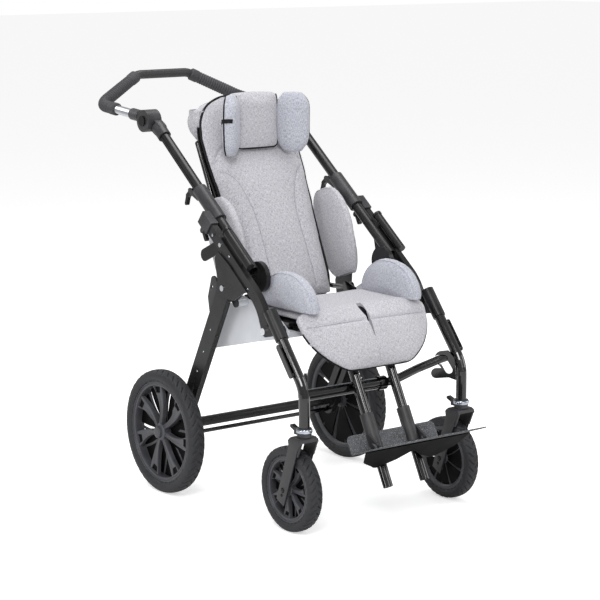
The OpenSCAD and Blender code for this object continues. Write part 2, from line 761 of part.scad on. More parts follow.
// Hip pads: half domes that stand on the seat cushion's sides
module hip_pads() color(fabric_grey) place() both()
    lay([-110, seat_z - 0.4], [0, 1], [-1, 0], hip_x) pillow(
        88, function(t) hip_t / 2 * pow(1 - pow(t, 3), 0.6) + 1, function(t) 105 * pow(1.02 - t * t, 0.5),
        function(t) 103 * pow(1.02 - t * t, 0.5), rows = 12
    );

// Tubes that the footrest slides on
module footrest_tubes() color(gloss_black) place() both()
    pipe(yz(foot_tube_x, foot_tube_end), yz(foot_tube_x, foot_at(foot_tube_len)), foot_tube_r, tube_wall);

// Rods behind the back, bent round to the pins beside the seat
back_rod_r = 6;
module back_frame() color(gloss_black) place() {
    p = [
        yz(118, back_at(430, -52)), yz(118, back_at(284, -52)), yz(118, back_at(170, -84)),
        yz(122, back_at(62, -84)), [back_arm_x, 118, 474], yz(back_arm_x, hinge_pos + [4, 0])
    ];
    both() difference() {
        union() {
            for (i = [0 : len(p) - 2]) rod(p[i], p[i + 1], back_rod_r);
            for (i = [0 : len(p) - 2]) translate(p[i]) sphere(r = back_rod_r + 0.2);
            xrod(hinge_x + hinge_t + gap, back_arm_x + back_rod_r, hinge_pos, 12);
            for (s = [400, 275]) slab(108, 116) polygon([
                back_at(s, -back_plane - shell_t), back_at(s + 28, -back_plane - shell_t), back_at(s + 24, -52),
                back_at(s + 4, -52)
            ]);
        }
        xrod(hinge_x, hinge_x + 17 + gap, hinge_pos, hinge_pin_r + run);
    }
    xrod(-114, 114, back_at(330, -52), back_rod_r - 1);
    xrod(-118, 118, back_at(90, -84), back_rod_r - 1);
}

// Half width of the back at a distance s up from its bottom
function back_half(s) = s < 370
    ? 118 + (back_half_w - 118) * pow(s / 370, 1.2)
    : back_half_w * pow(1 - pow((s - 370) / (back_len - 369), 3), 0.385);

// Stiff panel behind the back cushion, with guide blocks for the lateral pads' rods
module back_shell() color(gloss_black) place() difference() {
    union() {
        lay(back_at(0, -back_plane - shell_t), back_dir, back_nrm) linear_extrude(height = shell_t)
            polygon([
                for (s = [8 : 15 : back_len - 30]) [back_half(s) - 6, s],
                for (s = [back_len - 32 : -15 : 8]) [6 - back_half(s), s]
            ]);
        both() slab(78, 104) polygon([
            back_at(lateral_s - 12, -back_plane - shell_t), back_at(lateral_s - 10, lateral_d - 10),
            back_at(lateral_s + 10, lateral_d - 10), back_at(lateral_s + 12, -back_plane - shell_t)
        ]);
    }
    both() xrod(70, 110, back_at(lateral_s, lateral_d), lateral_rod_r + run);
}

// Back cushion: crowned, with two sewn channels, and a soft pouch behind its top
module back_cushion() color(fabric_grey) place() {
    lay(back_at(0), back_dir, back_nrm) pillow(
        back_len, function(t) back_half(t * back_len),
        function(t) (t < 0.6 ? 20 : t < 0.72 ? 20 - 150 * (t - 0.6) : 2) * plump(t, 6) + 0.5,
        function(t) (back_plane - gap) * plump(t, 10),
        function(x, t) t < 0.6 && t > 0.04 ? groove(abs(x) - 66, 22, 3.5) : 0, 22, 40
    );
    lay(back_at(392, -44), back_dir, back_nrm) pillow(
        112, function(t) 104 * plump(t, 3, 0.4), function(t) 44 - back_plane - shell_t - gap,
        function(t) 14 * plump(t, 3)
    );
}

// Strap that goes round the back and holds the headrest
module headrest_stem() color(gloss_black) place() translate([0, 0, strap_z])
    linear_extrude(height = 24) difference() {
        translate([-133, strap_y0]) square([266, 78]);
        translate([-131.2, strap_y0 + 1.8]) square([262.4, 74.4]);
    }

// Headrest: a middle pad and two wings that fold forward
module headrest_pad() color(fabric_grey) place() {
    lay([head_y, head_z], [0, 1], [-1, 0]) pillow(
        138, function(t) 62, function(t) 15 * plump(t, 4) + 1, function(t) min(2 + 62 * t, 40) * (t > 0.9 ? 1.9 - t : 1)
    );
    both() translate([92, head_y - 30, head_z - 8]) rotate([0, 0, -48])
        lay([0, 0], [0, 1], [-1, 0]) pillow(
            146, function(t) 42 * plump(t, 3, 0.45), function(t) 17 * plump(t, 4), function(t) 17 * plump(t, 4)
        );
}

// Arm of a thorax pad: a rod that slides in the back's guide block, and the pad's plate
module lateral_bracket(side) color(gloss_black) place() on_side(side) {
    xrod(62, lateral_out, back_at(lateral_s, lateral_d), lateral_rod_r);
    slab(lateral_out, lateral_out + 3) bar2d(back_at(lateral_s, lateral_d), [118, 606], 30);
}
module lateral_pad(side) color(fabric_grey) place() on_side(side)
    lay([95, 497], [0.286, 0.958], [-0.958, 0.286], lateral_x + lateral_t / 2) pillow(
        228, function(t) (lateral_t / 2 - gap) * plump(t, 3, 0.45),
        function(t) 77 * pow(max(0.06, 1 - pow(abs(t - 0.4) / 0.62, 2.2)), 0.55),
        function(t) 44 + 18 * t - 24 * pow(abs(2 * t - 1), 4), rows = 16, sides = 24
    );

// Sleeves that slide on the footrest tubes, with lugs for the foot plate's pins
module footrest_clamps() color(dark_plastic) place() both() difference() {
    union() {
        rod(yz(foot_tube_x, foot_at(foot_clamp_s0)), yz(foot_tube_x, foot_at(foot_clamp_s0 + foot_clamp_len)),
            foot_clamp_r);
        slab(foot_tube_x + foot_lug0, foot_tube_x + foot_lug1) {
            translate(foot_axis) circle(r = 7.5);
            polygon([
                foot_at(foot_clamp_s0 + 8, -3), foot_at(foot_clamp_s0 + 34, -3), foot_at(foot_clamp_s0 + 34, 9),
                foot_axis + [0, 7.4], foot_axis - [5.5, 4.5], foot_axis - [0, 7.4]
            ]);
        }
    }
    rod(yz(foot_tube_x, foot_at(0)), yz(foot_tube_x, foot_at(300)), foot_tube_r + run);
    xrod(foot_tube_x, foot_tube_x + 40, foot_axis, foot_pin_r + run);
}

// Foot plate: a thin sheet bent up at the heel, with two notches for the tubes, and ears with pins
module foot_plate() color(gloss_black) place() {
    difference() {
        union() {
            sole_slab(0, foot_sheet) foot_outline();
            lay(heel_base, foot_dir, foot_nrm) linear_extrude(height = foot_sheet)
                translate([-heel_half_w, 0]) round_top(2 * heel_half_w, heel_h, 12);
            slab(-heel_half_w, heel_half_w) polygon([
                heel_base, heel_base + foot_sheet * foot_nrm, sole_at(2 - foot_back, -sole_drop),
                sole_at(-foot_back, -sole_drop - foot_sheet)
            ]);
        }
        for (i = [-1, 1]) lay(heel_base, foot_dir, foot_nrm, i * (foot_tube_x + 2))
            translate([-notch_half, -60, -60]) cube([2 * notch_half, 160, 60 + notch_front]);
    }
    both() {
        slab(foot_tube_x + foot_lug1 + gap, foot_tube_x + foot_lug1 + gap + 4) {
            translate(foot_axis) circle(r = 8);
            polygon([foot_axis + [-8, 0], sole_at(-6, -sole_drop - 1), sole_at(12, -sole_drop - 1), foot_axis + [6, 4]]);
        }
        xrod(foot_tube_x + foot_lug0, foot_tube_x + foot_lug1 + gap + 1, foot_axis, foot_pin_r);
    }
}

// Extrudes an outline drawn in [x, distance towards the toes] between two heights over the sole
module sole_slab(h0, h1) {
    multmatrix([
        [1, 0, 0, 0], [0, sole_dir[0], -sole_nrm[0], sole_at(0, -sole_drop)[0]],
        [0, sole_dir[1], -sole_nrm[1], sole_at(0, -sole_drop)[1]], [0, 0, 0, 1]
    ]) translate([0, 0, h0]) linear_extrude(height = h1 - h0) children();
}
module foot_outline() {
    translate([-foot_half_w, heel_step]) square([2 * foot_half_w, foot_len - heel_step - 20]);
    translate([-heel_half_w, -foot_back]) square([2 * heel_half_w, foot_len + foot_back - 25]);
    translate([20 - foot_half_w, 0]) square([2 * foot_half_w - 40, foot_len]);
    for (i = [-1, 1]) translate([i * (foot_half_w - 20), foot_len - 20]) circle(r = 20);
}

// A rectangle standing on y = 0 with round upper corners, drawn flat
module round_top(w, h, r) {
    square([w, h - r]);
    translate([r, 0]) square([w - 2 * r, h]);
    for (x = [r, w - r]) translate([x, h - r]) circle(r = r);
}

// Bent bracket under the foot plate, with two rounded lobes
module plate_bracket() color(gloss_black) place() {
    lay(bracket_top, [0.681, -0.732], [-0.732, -0.681]) linear_extrude(height = 3) both2d()
        polygon(concat([[0, 0], [0, 30], [7, 32], [34, 54]],
            [for (a = [120 : -10 : 40]) [82 + 24 * cos(a) , 50 + 24 * sin(a)]],
            [[134, 44], [150, 4], [150, 0]]));
}
module both2d() {
    children();
    mirror([1, 0]) children();
}

// Push tubes, which slide in the clamp sleeves
module push_tubes() color(anthracite) place() both()
    pipe(yz(push_x, push_at(push_s0)), yz(push_x, push_at(push_s1)), push_r, tube_wall);

// Lower halves of the handle joints, with the sockets on the push tubes' upper ends
module joint_housings() color(dark_plastic) place() both() difference() {
    union() {
        rod(yz(push_x, push_at(push_s1 - 36)), yz(push_x, push_at(push_s1 + 1)), push_r + 4);
        slab(hub_in, hub_mid - gap) bar2d(push_at(push_s1 - 10), hub_pos, 30);
        xrod(hub_in, hub_mid - gap, hub_pos, hub_r);
    }
    rod(yz(push_x, push_at(push_s1 - 60)), yz(push_x, push_at(push_s1)), push_r + run);
    xrod(hub_in + 8, hub_mid + 1, hub_pos, hub_pin_r + run);
}

// Upper halves of the handle joints, with the sockets of the handle's tube
module handle_hubs() color(dark_plastic) place() both() difference() {
    union() {
        xrod(hub_mid, hub_out, hub_pos, hub_r);
        xrod(hub_in + 9, hub_mid, hub_pos, hub_pin_r);
        slab(hub_mid, hub_out - 3) bar2d(hub_pos, hub_neck, 26);
        rod(handle_start - [0, 1, 0], handle_start + 36 * handle_dir, handle_r + 3.5);
    }
    xrod(hub_out - 6.5, hub_out + 1, hub_pos, button_r + run);
    rod(handle_start + hub_seat * handle_dir, handle_start + 90 * handle_dir, handle_r + run);
}

// Handle: one bent tube from joint to joint
handle_half = [handle_start + hub_seat * handle_dir, handle_bend, handle_corner];
module handle_bar() color(bright) place() bent_tube(
    concat(handle_half, [for (i = [2 : -1 : 0]) [-handle_half[i][0], handle_half[i][1], handle_half[i][2]]]),
    handle_r, handle_bend_r, handle_r - tube_wall, [0, -0.42, 0.9], 20
);

// Foam grips round the bends of the handle
module handle_grips() color(dark_plastic) place() both() bent_tube([
    handle_start + (grip_start_y - handle_start[1]) * handle_dir, handle_bend,
    handle_bend + grip_reach * grip_dir
], grip_r, handle_bend_r, handle_r + formed_fit, [0, -0.42, 0.9], 20);

// Round push button in the outer face of a handle joint
module handle_button(side) color(gloss_black) place() on_side(side)
    xrod(hub_out - 6.5 + button_travel, hub_out + button_travel, hub_pos, button_r);

// Rear legs, from the hinge to the axle
module rear_legs() color(anthracite) place() both() difference() {
    slab(rear_leg_x0, rear_leg_x1) difference() {
        bar2d(fold_pin, axle_pos + leg_below_axle * rear_dir, rear_leg_w);
        bar2d(axle_pos - 130 * rear_dir + [-2, 0], axle_pos - 50 * rear_dir + [-2, 0], 9);
    }
    xrod(side_in - 1, side_out + 1, fold_pin, fold_pin_r + run);
    xrod(side_in - 1, side_out + 1, axle_pos, stub_r + run);
    xrod(side_in - 1, side_in + 9, brake_pos, brake_end_r + run);
}

// Tube between the rear legs, with the stub axles of the rear wheels
module rear_axle() color(anthracite) place() {
    xrod(-rear_leg_x0 + gap / 2, rear_leg_x0 - gap / 2, axle_tube_pos, axle_tube_r);
    both() {
        xrod(rear_leg_x0 - 8, hub_cap_x - 3, axle_pos, stub_r);
        slab(rear_leg_x0 - 8, rear_leg_x0 - gap / 2) difference() {
            bar2d(axle_tube_pos, axle_pos, 27);
            translate(brake_pos) circle(r = 9);
        }
    }
}

// Bar of the parking brake, turning in the rear legs
module brake_bar() color(gloss_black) place() {
    xrod(-rear_leg_x0 + 9, rear_leg_x0 - 9, brake_pos, brake_bar_r);
    xrod(-rear_leg_x0 - 7, rear_leg_x0 + 7, brake_pos, brake_end_r);
}

// Pedal of the parking brake, on the occupant's right
module brake_pedal() color(gloss_black) place() mirror([1, 0, 0]) difference() {
    union() {
        slab(176, 204) {
            translate(brake_pos) circle(r = 9.5);
            polygon([brake_pos + [0, -9], brake_pos + [0, 4], brake_pos + [52, 12], brake_pos + [58, 4],
                brake_pos + [48, -2]]);
        }
        slab(168, 212) polygon([brake_pos + [36, 4], brake_pos + [34, 10], brake_pos + [60, 16],
            brake_pos + [64, 8], brake_pos + [58, 3]]);
    }
    xrod(160, 220, brake_pos, brake_bar_r + run / 2);
}

// A tyre about the X axis, with rounded shoulders
module tyre(r, h, w) rotate([0, 90, 0]) rotate_extrude() polygon([
    [r - h, -w * 0.36], [r - h * 0.75, -w * 0.47], [r - h * 0.45, -w / 2], [r - h * 0.2, -w * 0.44],
    [r - h * 0.05, -w * 0.3], [r, -w * 0.12], [r, w * 0.12], [r - h * 0.05, w * 0.3],
    [r - h * 0.2, w * 0.44], [r - h * 0.45, w / 2], [r - h * 0.75, w * 0.47], [r - h, w * 0.36]
]);

// A wheel's rim about the X axis: ring, spokes and hub, open along the spokes
module rim(r, w, hub_radius, hub_x0, hub_x1, ring_h, spoke_w) {
    rotate([0, 90, 0]) rotate_extrude() polygon([
        [r - ring_h, -w * 0.28], [r, -w * 0.36], [r, w * 0.36], [r - ring_h, w * 0.28]
    ]);
    xrod(hub_x0, hub_x1, [0, 0], hub_radius);
    slab(-spoke_w / 2, spoke_w / 2) for (i = [1 : spoke_count]) rotate(i * 360 / spoke_count)
        for (side = [-1, 1]) polygon([
            [hub_radius * 0.6, side * 2], [hub_radius * 0.6, side * 10], [r * 0.62, side * 9],
            [r - ring_h / 2, side * 15], [r - ring_h / 2, side * 9], [r * 0.6, side * 4.5]
        ]);
}

module rear_rim(side) color(dark_plastic) place() on_side(side)
    translate([rear_wheel_x, axle_pos[0], axle_pos[1]]) difference() {
        union() {
            rim(rear_wheel_r - rear_tyre_h, rear_tyre_w, 24, rear_leg_x1 + 0.6 - rear_wheel_x,
                hub_cap_x - rear_wheel_x, 13, 16);
            xrod(-rear_tyre_w * 0.3, rear_tyre_w * 0.3, [0, 0], 30);
        }
        xrod(rear_leg_x1 - rear_wheel_x - 5, hub_cap_x - rear_wheel_x - 3 + run, [0, 0], stub_r + run);
    }
module rear_tyre(side) color(tyre_grey) place() on_side(side)
    translate([rear_wheel_x, axle_pos[0], axle_pos[1]]) tyre(rear_wheel_r, rear_tyre_h, rear_tyre_w);

// Caster fork: stem, crown, two swept blades and the wheel's pin
module fork(side) color(dark_plastic) place() on_side(side) translate([caster_x, 0, 0]) {
    translate([0, stem_y, crown_z1 - 1]) cylinder(r = stem_r, h = stem_top - crown_z1);
    slab(-fork_gap - fork_t, fork_gap + fork_t) polygon([
        [stem_y - 20, crown_z0], [stem_y - 17, crown_z1 - 3], [stem_y - 12, crown_z1], [stem_y + 18, crown_z1],
        [stem_y + 27, crown_z1 - 6], [stem_y + 29, crown_z0]
    ]);
    for (x = [-fork_gap - fork_t, fork_gap]) slab(x, x + fork_t) {
        bar2d(blade_top, blade_end, fork_w);
        polygon([
            [stem_y - 20, crown_z0], [stem_y - 17, crown_z1 - 3], [stem_y + 20, crown_z1 - 3],
            [stem_y + 29, crown_z0], blade_top + 18 * [0.95, 0.32] - [0, 30], blade_top - 16 * [0.95, 0.32] - [0, 18]
        ]);
    }
    xrod(-fork_gap - 1, fork_gap + 1, front_pin, front_pin_r);
}
module front_rim(side) color(dark_plastic) place() on_side(side)
    translate([caster_x, front_pin[0], front_pin[1]]) difference() {
        rim(front_wheel_r - front_tyre_h, front_tyre_w, 14, 0.5 - fork_gap, fork_gap - 0.5, 9, 12);
        xrod(-60, 60, [0, 0], front_pin_r + run);
    }
module front_tyre(side) color(tyre_grey) place() on_side(side)
    translate([caster_x, front_pin[0], front_pin[1]]) tyre(front_wheel_r, front_tyre_h, front_tyre_w);

// Lever that locks a caster's swivel
module swivel_lock(side) color(gloss_black) place() on_side(side) translate([caster_x, stem_y, 0])
    difference() {
        slab(-lock_half, lock_half) bar2d([lock_y, lock_z], [lock_y + 19, lock_z + 7], 8);
        xrod(-20, 20, [lock_y, lock_z], lock_pin_r + run);
    }

side_tubes();
front_legs();
leg_sockets();
caster_collars();
cross_sleeve();
cross_tube();
hinge_plates();
hinge_bolts();
frame_bolts();
clamp_sleeves();
tie_down_brackets();
leg_guards();
bar_sockets();
seat_pan();
seat_base();
ear_plates();
seat_hinges();
seat_cushion();
hip_pads();
footrest_tubes();
back_frame();
back_shell();
back_cushion();
headrest_stem();
headrest_pad();
lateral_bracket(1);  // lateral_bracket_left
lateral_bracket(-1);  // lateral_bracket_right
lateral_pad(1);  // lateral_pad_left
lateral_pad(-1);  // lateral_pad_right
footrest_clamps();
foot_plate();
plate_bracket();
push_tubes();
joint_housings();
handle_hubs();
handle_bar();
handle_grips();
handle_button(1);  // handle_button_left
handle_button(-1);  // handle_button_right
clamp_lever(1);  // clamp_lever_left
clamp_lever(-1);  // clamp_lever_right
release_levers();
rear_legs();
rear_axle();
brake_bar();
brake_pedal();
rear_rim(1);  // rear_rim_left
rear_rim(-1);  // rear_rim_right
rear_tyre(1);  // rear_tyre_left
rear_tyre(-1);  // rear_tyre_right
fork(1);  // fork_left
fork(-1);  // fork_right
front_rim(1);  // front_rim_left
front_rim(-1);  // front_rim_right
front_tyre(1);  // front_tyre_left
front_tyre(-1);  // front_tyre_right
swivel_lock(1);  // swivel_lock_left
swivel_lock(-1);  // swivel_lock_right
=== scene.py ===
import json
import math

import bmesh
import bpy
from mathutils import Matrix, Vector
from mathutils.bvhtree import BVHTree
from mathutils.kdtree import KDTree


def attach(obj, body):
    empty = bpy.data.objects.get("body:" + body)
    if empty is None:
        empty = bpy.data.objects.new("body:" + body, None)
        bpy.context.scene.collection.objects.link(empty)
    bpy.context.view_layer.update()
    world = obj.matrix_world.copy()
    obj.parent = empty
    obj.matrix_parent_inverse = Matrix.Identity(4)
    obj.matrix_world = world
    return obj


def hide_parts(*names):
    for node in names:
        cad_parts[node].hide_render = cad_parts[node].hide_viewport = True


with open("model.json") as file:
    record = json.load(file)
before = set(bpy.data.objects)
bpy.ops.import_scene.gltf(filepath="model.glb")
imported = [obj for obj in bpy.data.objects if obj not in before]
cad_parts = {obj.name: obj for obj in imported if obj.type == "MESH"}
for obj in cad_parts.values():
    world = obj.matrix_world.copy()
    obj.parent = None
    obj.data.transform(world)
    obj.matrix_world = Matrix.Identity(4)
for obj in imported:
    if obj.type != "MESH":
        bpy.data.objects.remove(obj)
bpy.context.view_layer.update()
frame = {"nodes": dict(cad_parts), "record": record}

NODES = frame["nodes"]
SCENE = bpy.context.scene
MM = 0.001
ORIGIN_Y = 85.975   # the drawing's y = 0 lies midway between the axles, this far in front of the origin
SIDES = ((1, "left"), (-1, "right"))   # the sign of x and the end of a piece's name
X, Y, Z = Vector((1, 0, 0)), Vector((0, 1, 0)), Vector((0, 0, 1))


def P(x, y, z):
    """A point of the drawing, in millimetres with y = 0 midway between the axles, in the row frame."""
    return Vector((x, y - ORIGIN_Y, z)) * MM


def linked(name, data):
    o = bpy.data.objects.new(name, data)
    SCENE.collection.objects.link(o)
    return o


def unit2(v):
    n = math.hypot(*v)
    return (v[0] / n, v[1] / n)


# ---------------- lines in the YZ plane, as (y, z)
SIDE_SLOPE, BACK_TILT = math.radians(37.7), math.radians(26)
SIDE_DIR, SIDE_NRM = (math.cos(SIDE_SLOPE), math.sin(SIDE_SLOPE)), (-math.sin(SIDE_SLOPE), math.cos(SIDE_SLOPE))
BACK_DIR, BACK_NRM = (math.sin(BACK_TILT), math.cos(BACK_TILT)), (-math.cos(BACK_TILT), math.sin(BACK_TILT))
BD, BN = Vector((0, *BACK_DIR)), Vector((0, *BACK_NRM))


def along(base, d, n, s, off=0.0):
    """The point s from base along the direction d, and off along its normal n."""
    return (base[0] + s * d[0] + off * n[0], base[1] + s * d[1] + off * n[1])


def side_at(s, off=0.0):
    """A point by the middle line of the side tubes."""
    return along((-110.8, 503.7), SIDE_DIR, SIDE_NRM, s, off)


def push_at(s, off=0.0):
    """A point by the middle line of the push tubes."""
    return along((0, 603.5), SIDE_DIR, SIDE_NRM, s, off)


def back_at(s, off=0.0):
    """A point by the front of the stiff panel behind the back cushion."""
    return along((69, 465), BACK_DIR, BACK_NRM, s, off)


def smooth(a, b, x):
    """A soft step from 0 at a to 1 at b."""
    t = min(1.0, max(0.0, (x - a) / (b - a)))
    return t * t * (3 - 2 * t)


# ---------------- materials
def srgb(c):
    return tuple(x / 12.92 if x <= 0.04045 else ((x + 0.055) / 1.055) ** 2.4 for x in c)


class Tree:
    """A material's nodes, with short calls for the ones used here."""

    def __init__(self, name):
        self.mat = bpy.data.materials.new(name)
        self.mat.use_nodes = True
        self.nt = self.mat.node_tree
        self.out = [n for n in self.nt.nodes if n.type == "OUTPUT_MATERIAL"][0]
        self.bsdf = [n for n in self.nt.nodes if n.type == "BSDF_PRINCIPLED"][0]
        coords = self.nt.nodes.new("ShaderNodeTexCoord")
        self.obj = coords.outputs["Object"]

    def node(self, kind, ins=(), **props):
        n = self.nt.nodes.new("ShaderNode" + kind)
        for k, v in props.items():
            setattr(n, k, v)
        for k, v in dict(ins).items():
            self.put(n.inputs[k], v)
        return n

    def put(self, socket, v):
        if isinstance(v, bpy.types.NodeSocket):
            self.nt.links.new(v, socket)
        else:
            socket.default_value = v

    def math(self, op, a, b=0.0):
        n = self.node("Math", operation=op)
        for i, v in enumerate((a, b)):
            self.put(n.inputs[i], v)
        return n.outputs[0]

    def scaled(self, vec, scale, turn=(0, 0, 0)):
        return self.node("Mapping", {"Vector": vec, "Scale": scale, "Rotation": turn}).outputs[0]

    def noise(self, vec, scale, detail=3.0, rough=0.55):
        return self.node("TexNoise", {"Vector": vec, "Scale": scale, "Detail": detail, "Roughness": rough}).outputs[0]

    def ramp(self, fac, lo, hi, a=0.0, b=1.0):
        ins = {"Value": fac, "From Min": lo, "From Max": hi, "To Min": a, "To Max": b}
        return self.node("MapRange", ins).outputs[0]

    def mix(self, fac, a, b):
        n = self.node("Mix", data_type="RGBA")
        self.put(n.inputs["Factor"], fac)
        self.put(n.inputs[6], a)
        self.put(n.inputs[7], b)
        return n.outputs[2]

    def bump(self, height, strength, distance, normal=None):
        n = self.node("Bump", {"Height": height, "Strength": strength, "Distance": distance})
        if normal is not None:
            self.put(n.inputs["Normal"], normal)
        return n.outputs[0]

    def set(self, **kw):
        for k, v in kw.items():
            self.put(self.bsdf.inputs[k.replace("_", " ")], v)


def rgba(c):
    return (*srgb(c), 1.0)


def tint(c, times, plus=0.0):
    """The colour c made lighter or darker, as a socket takes it."""
    return rgba(tuple(min(1.0, x * times + plus) for x in c))


def hard(name, base, rough, metal=0.0, coat=0.0, grain=900.0, grain_depth=0.0, speck=0.0, scuff=0.06,
         hollow_shade=0.0, shine=0.5):
    """Paint, plastic or metal: cloudy roughness, fine grain and faint rubbed edges.
    speck strews pale dots over it, and a share of painted shade darkens its hollows."""
    t = Tree(name)
    cloud = t.noise(t.obj, 22.0, 4.0)
    fine = t.noise(t.obj, grain, 2.0)
    edge = t.node("NewGeometry").outputs["Pointiness"]
    rub = t.math("MULTIPLY", t.ramp(edge, 0.53, 0.62), t.ramp(cloud, 0.42, 0.62))
    col = t.mix(t.ramp(cloud, 0.3, 0.7), tint(base, 1 - scuff), tint(base, 1 + scuff))
    if speck:
        dots = t.noise(t.obj, grain * 0.55, 1.0, 0.7)
        col = t.mix(t.ramp(dots, 0.52, 0.66, 0.0, speck), col, tint(base, 2.1, 0.08))
    col = t.mix(t.math("MULTIPLY", rub, 0.35), col, tint(base, 1.35, 0.05))
    # painted shade in the hollows, where the pointiness is low
    if hollow_shade:
        col = t.mix(t.ramp(edge, 0.41, 0.485, hollow_shade, 0.0), col, tint(base, 0.2))
    t.set(Base_Color=col, Roughness=t.ramp(cloud, 0.3, 0.7, max(0.03, rough - 0.06), rough + 0.07), Metallic=metal)
    t.set(Specular_IOR_Level=shine)
    if coat:
        t.set(Coat_Weight=coat, Coat_Roughness=0.06)
    if grain_depth:
        t.set(Normal=t.bump(fine, 0.5, grain_depth))
    return t.mat


THREAD_PITCH = 0.0016   # metres from thread to thread of the linen


def weave(name, base, deep, turn=0.0):
    """Melange linen: threads both ways with slubs, on the projection that faces the surface."""
    t = Tree(name)
    vec = t.scaled(t.obj, (1, 1, 1), (turn, 0, 0))
    xyz = t.node("SeparateXYZ", {"Vector": vec}).outputs
    normal = t.node("NewGeometry").outputs["Normal"]
    nrm = t.node("VectorRotate", {"Vector": normal, "Angle": turn}, rotation_type="X_AXIS")
    nx = t.node("SeparateXYZ", {"Vector": nrm.outputs[0]}).outputs
    ax, ay, az = (t.math("ABSOLUTE", n) for n in nx)
    side = t.math("GREATER_THAN", ax, t.math("MAXIMUM", ay, az))
    flat = t.math("GREATER_THAN", az, ay)

    def either(a, b, flag):
        return t.math("ADD", t.math("MULTIPLY", a, t.math("SUBTRACT", 1.0, flag)), t.math("MULTIPLY", b, flag))

    # u runs across and v up the face that shows
    u = either(xyz[0], xyz[1], side)
    v = either(either(xyz[2], xyz[1], flat), xyz[2], side)
    uv = t.node("CombineXYZ", {"X": u, "Y": v, "Z": 0.0}).outputs[0]
    warp_slub = t.noise(t.scaled(uv, (880, 150, 1)), 1.0, 2.0, 0.6)
    weft_slub = t.noise(t.scaled(uv, (150, 880, 1)), 1.0, 2.0, 0.6)
    patch = t.noise(t.scaled(uv, (560, 520, 1)), 1.0, 3.0, 0.6)
    cloud = t.noise(t.obj, 9.0, 3.0)
    freq = math.pi / THREAD_PITCH
    warp = t.math("ABSOLUTE", t.math("SINE", t.math("MULTIPLY", u, freq)))
    weft = t.math("ABSOLUTE", t.math("SINE", t.math("MULTIPLY", v, freq)))
    tone = t.math("ADD", t.math("MULTIPLY", warp_slub, 0.42), t.math("MULTIPLY", weft_slub, 0.33))
    tone = t.math("ADD", tone, t.math("MULTIPLY", patch, 0.25))
    col = t.mix(t.ramp(tone, 0.4, 0.585), rgba(deep), rgba(base))
    # painted shade in the gaps between the threads
    thread_gap_shade = t.math("MULTIPLY", warp, weft)
    col = t.mix(t.ramp(thread_gap_shade, 0.0, 0.35, 0.22, 0.0), col, tint(deep, 0.72))
    col = t.mix(t.ramp(cloud, 0.35, 0.65, 0.0, 0.1), col, tint(base, 1.03))
    height = t.math("ADD", t.math("MULTIPLY", t.math("ADD", warp, weft), 0.5), t.math("MULTIPLY", tone, 1.6))
    crease = t.noise(t.obj, 26.0, 3.0)
    soft = t.bump(crease, 0.12, 0.004)
    t.set(Base_Color=col, Roughness=0.93, Normal=t.bump(height, 0.55, 0.0005, soft))
    t.set(Sheen_Weight=0.18, Sheen_Roughness=0.55, Specular_IOR_Level=0.2)
    return t.mat


def webbing(name, base):
    """Strap and binding cloth: fine ribs with a fuzz."""
    t = Tree(name)
    xyz = t.node("SeparateXYZ", {"Vector": t.obj}).outputs
    slant = t.math("ADD", xyz[2], t.math("MULTIPLY", xyz[0], 0.5))
    rib = t.math("SINE", t.math("MULTIPLY", slant, 3600.0))
    fuzz = t.noise(t.obj, 700.0, 2.0)
    col = t.mix(t.ramp(fuzz, 0.3, 0.7), tint(base, 0.8), tint(base, 1.5))
    t.set(Base_Color=col, Roughness=0.8, Normal=t.bump(t.math("ADD", rib, fuzz), 0.4, 0.0004))
    t.set(Specular_IOR_Level=0.3)
    return t.mat


M = {
    "frame_paint": hard("anthracite_coat", (0.085, 0.085, 0.09), 0.3, shine=0.4,
                        grain=1500, grain_depth=0.00003, scuff=0.05),
    "black_paint": hard("gloss_black_coat", (0.02, 0.02, 0.024), 0.12, coat=0.6, scuff=0.08),
    "silver_paint": hard("silver_coat", (0.80, 0.81, 0.83), 0.4, metal=0.12,
                         grain=2600, grain_depth=0.00002, scuff=0.02),
    "bright_metal": hard("polished_metal", (0.80, 0.81, 0.83), 0.14, metal=1.0, scuff=0.03),
    "zinc": hard("zinc_plate", (0.70, 0.73, 0.77), 0.24, metal=1.0, grain=1800, grain_depth=0.00003),
    "grey_plastic": hard("moulded_grey", (0.18, 0.18, 0.188), 0.42, shine=0.4,
                         grain=1700, grain_depth=0.00006, scuff=0.05),
    "wheel_plastic": hard("wheel_moulding", (0.25, 0.252, 0.268), 0.4, shine=0.4, grain=1500, grain_depth=0.00005),
    "black_plastic": hard("smooth_black", (0.03, 0.03, 0.034), 0.25, shine=0.4, grain=1700, grain_depth=0.00003),
    # black that stands for painted shade: in the seat slit, the push tube grooves, the spoke pockets and behind the
    # spokes, round the fork bolts and on the bracket under the foot plate
    "painted_shade_black": hard("shaded_black", (0.012, 0.012, 0.015), 0.6, shine=0.1, grain=1500, grain_depth=0.00004),
    # the tyre and the grips get painted shade in their grooves and hollows
    "tyre_grey": hard("tyre_rubber", (0.15, 0.152, 0.162), 0.55, hollow_shade=0.9, shine=0.35,
                      grain=1100, grain_depth=0.0001, scuff=0.09),
    "grip_foam": hard("grip_rubber", (0.235, 0.235, 0.245), 0.58, hollow_shade=0.7, shine=0.3,
                      grain=1400, grain_depth=0.00012, scuff=0.06),
    "sole": hard("speckled_board", (0.235, 0.24, 0.25), 0.72, grain=900, grain_depth=0.00018, speck=0.75),
    "upholstery": weave("linen_back", (0.80, 0.795, 0.812), (0.52, 0.52, 0.55), turn=-BACK_TILT),
    "linen_seat": weave("linen_seat", (0.80, 0.795, 0.812), (0.53, 0.53, 0.56)),
    "linen_blue": weave("linen_pads", (0.775, 0.78, 0.812), (0.50, 0.51, 0.56)),
    "piping": webbing("piping_cloth", (0.055, 0.055, 0.06)),
    "webbing": webbing("strap_weave", (0.05, 0.05, 0.055)),
    "thread": webbing("seam_thread", (0.50, 0.50, 0.53)),
}
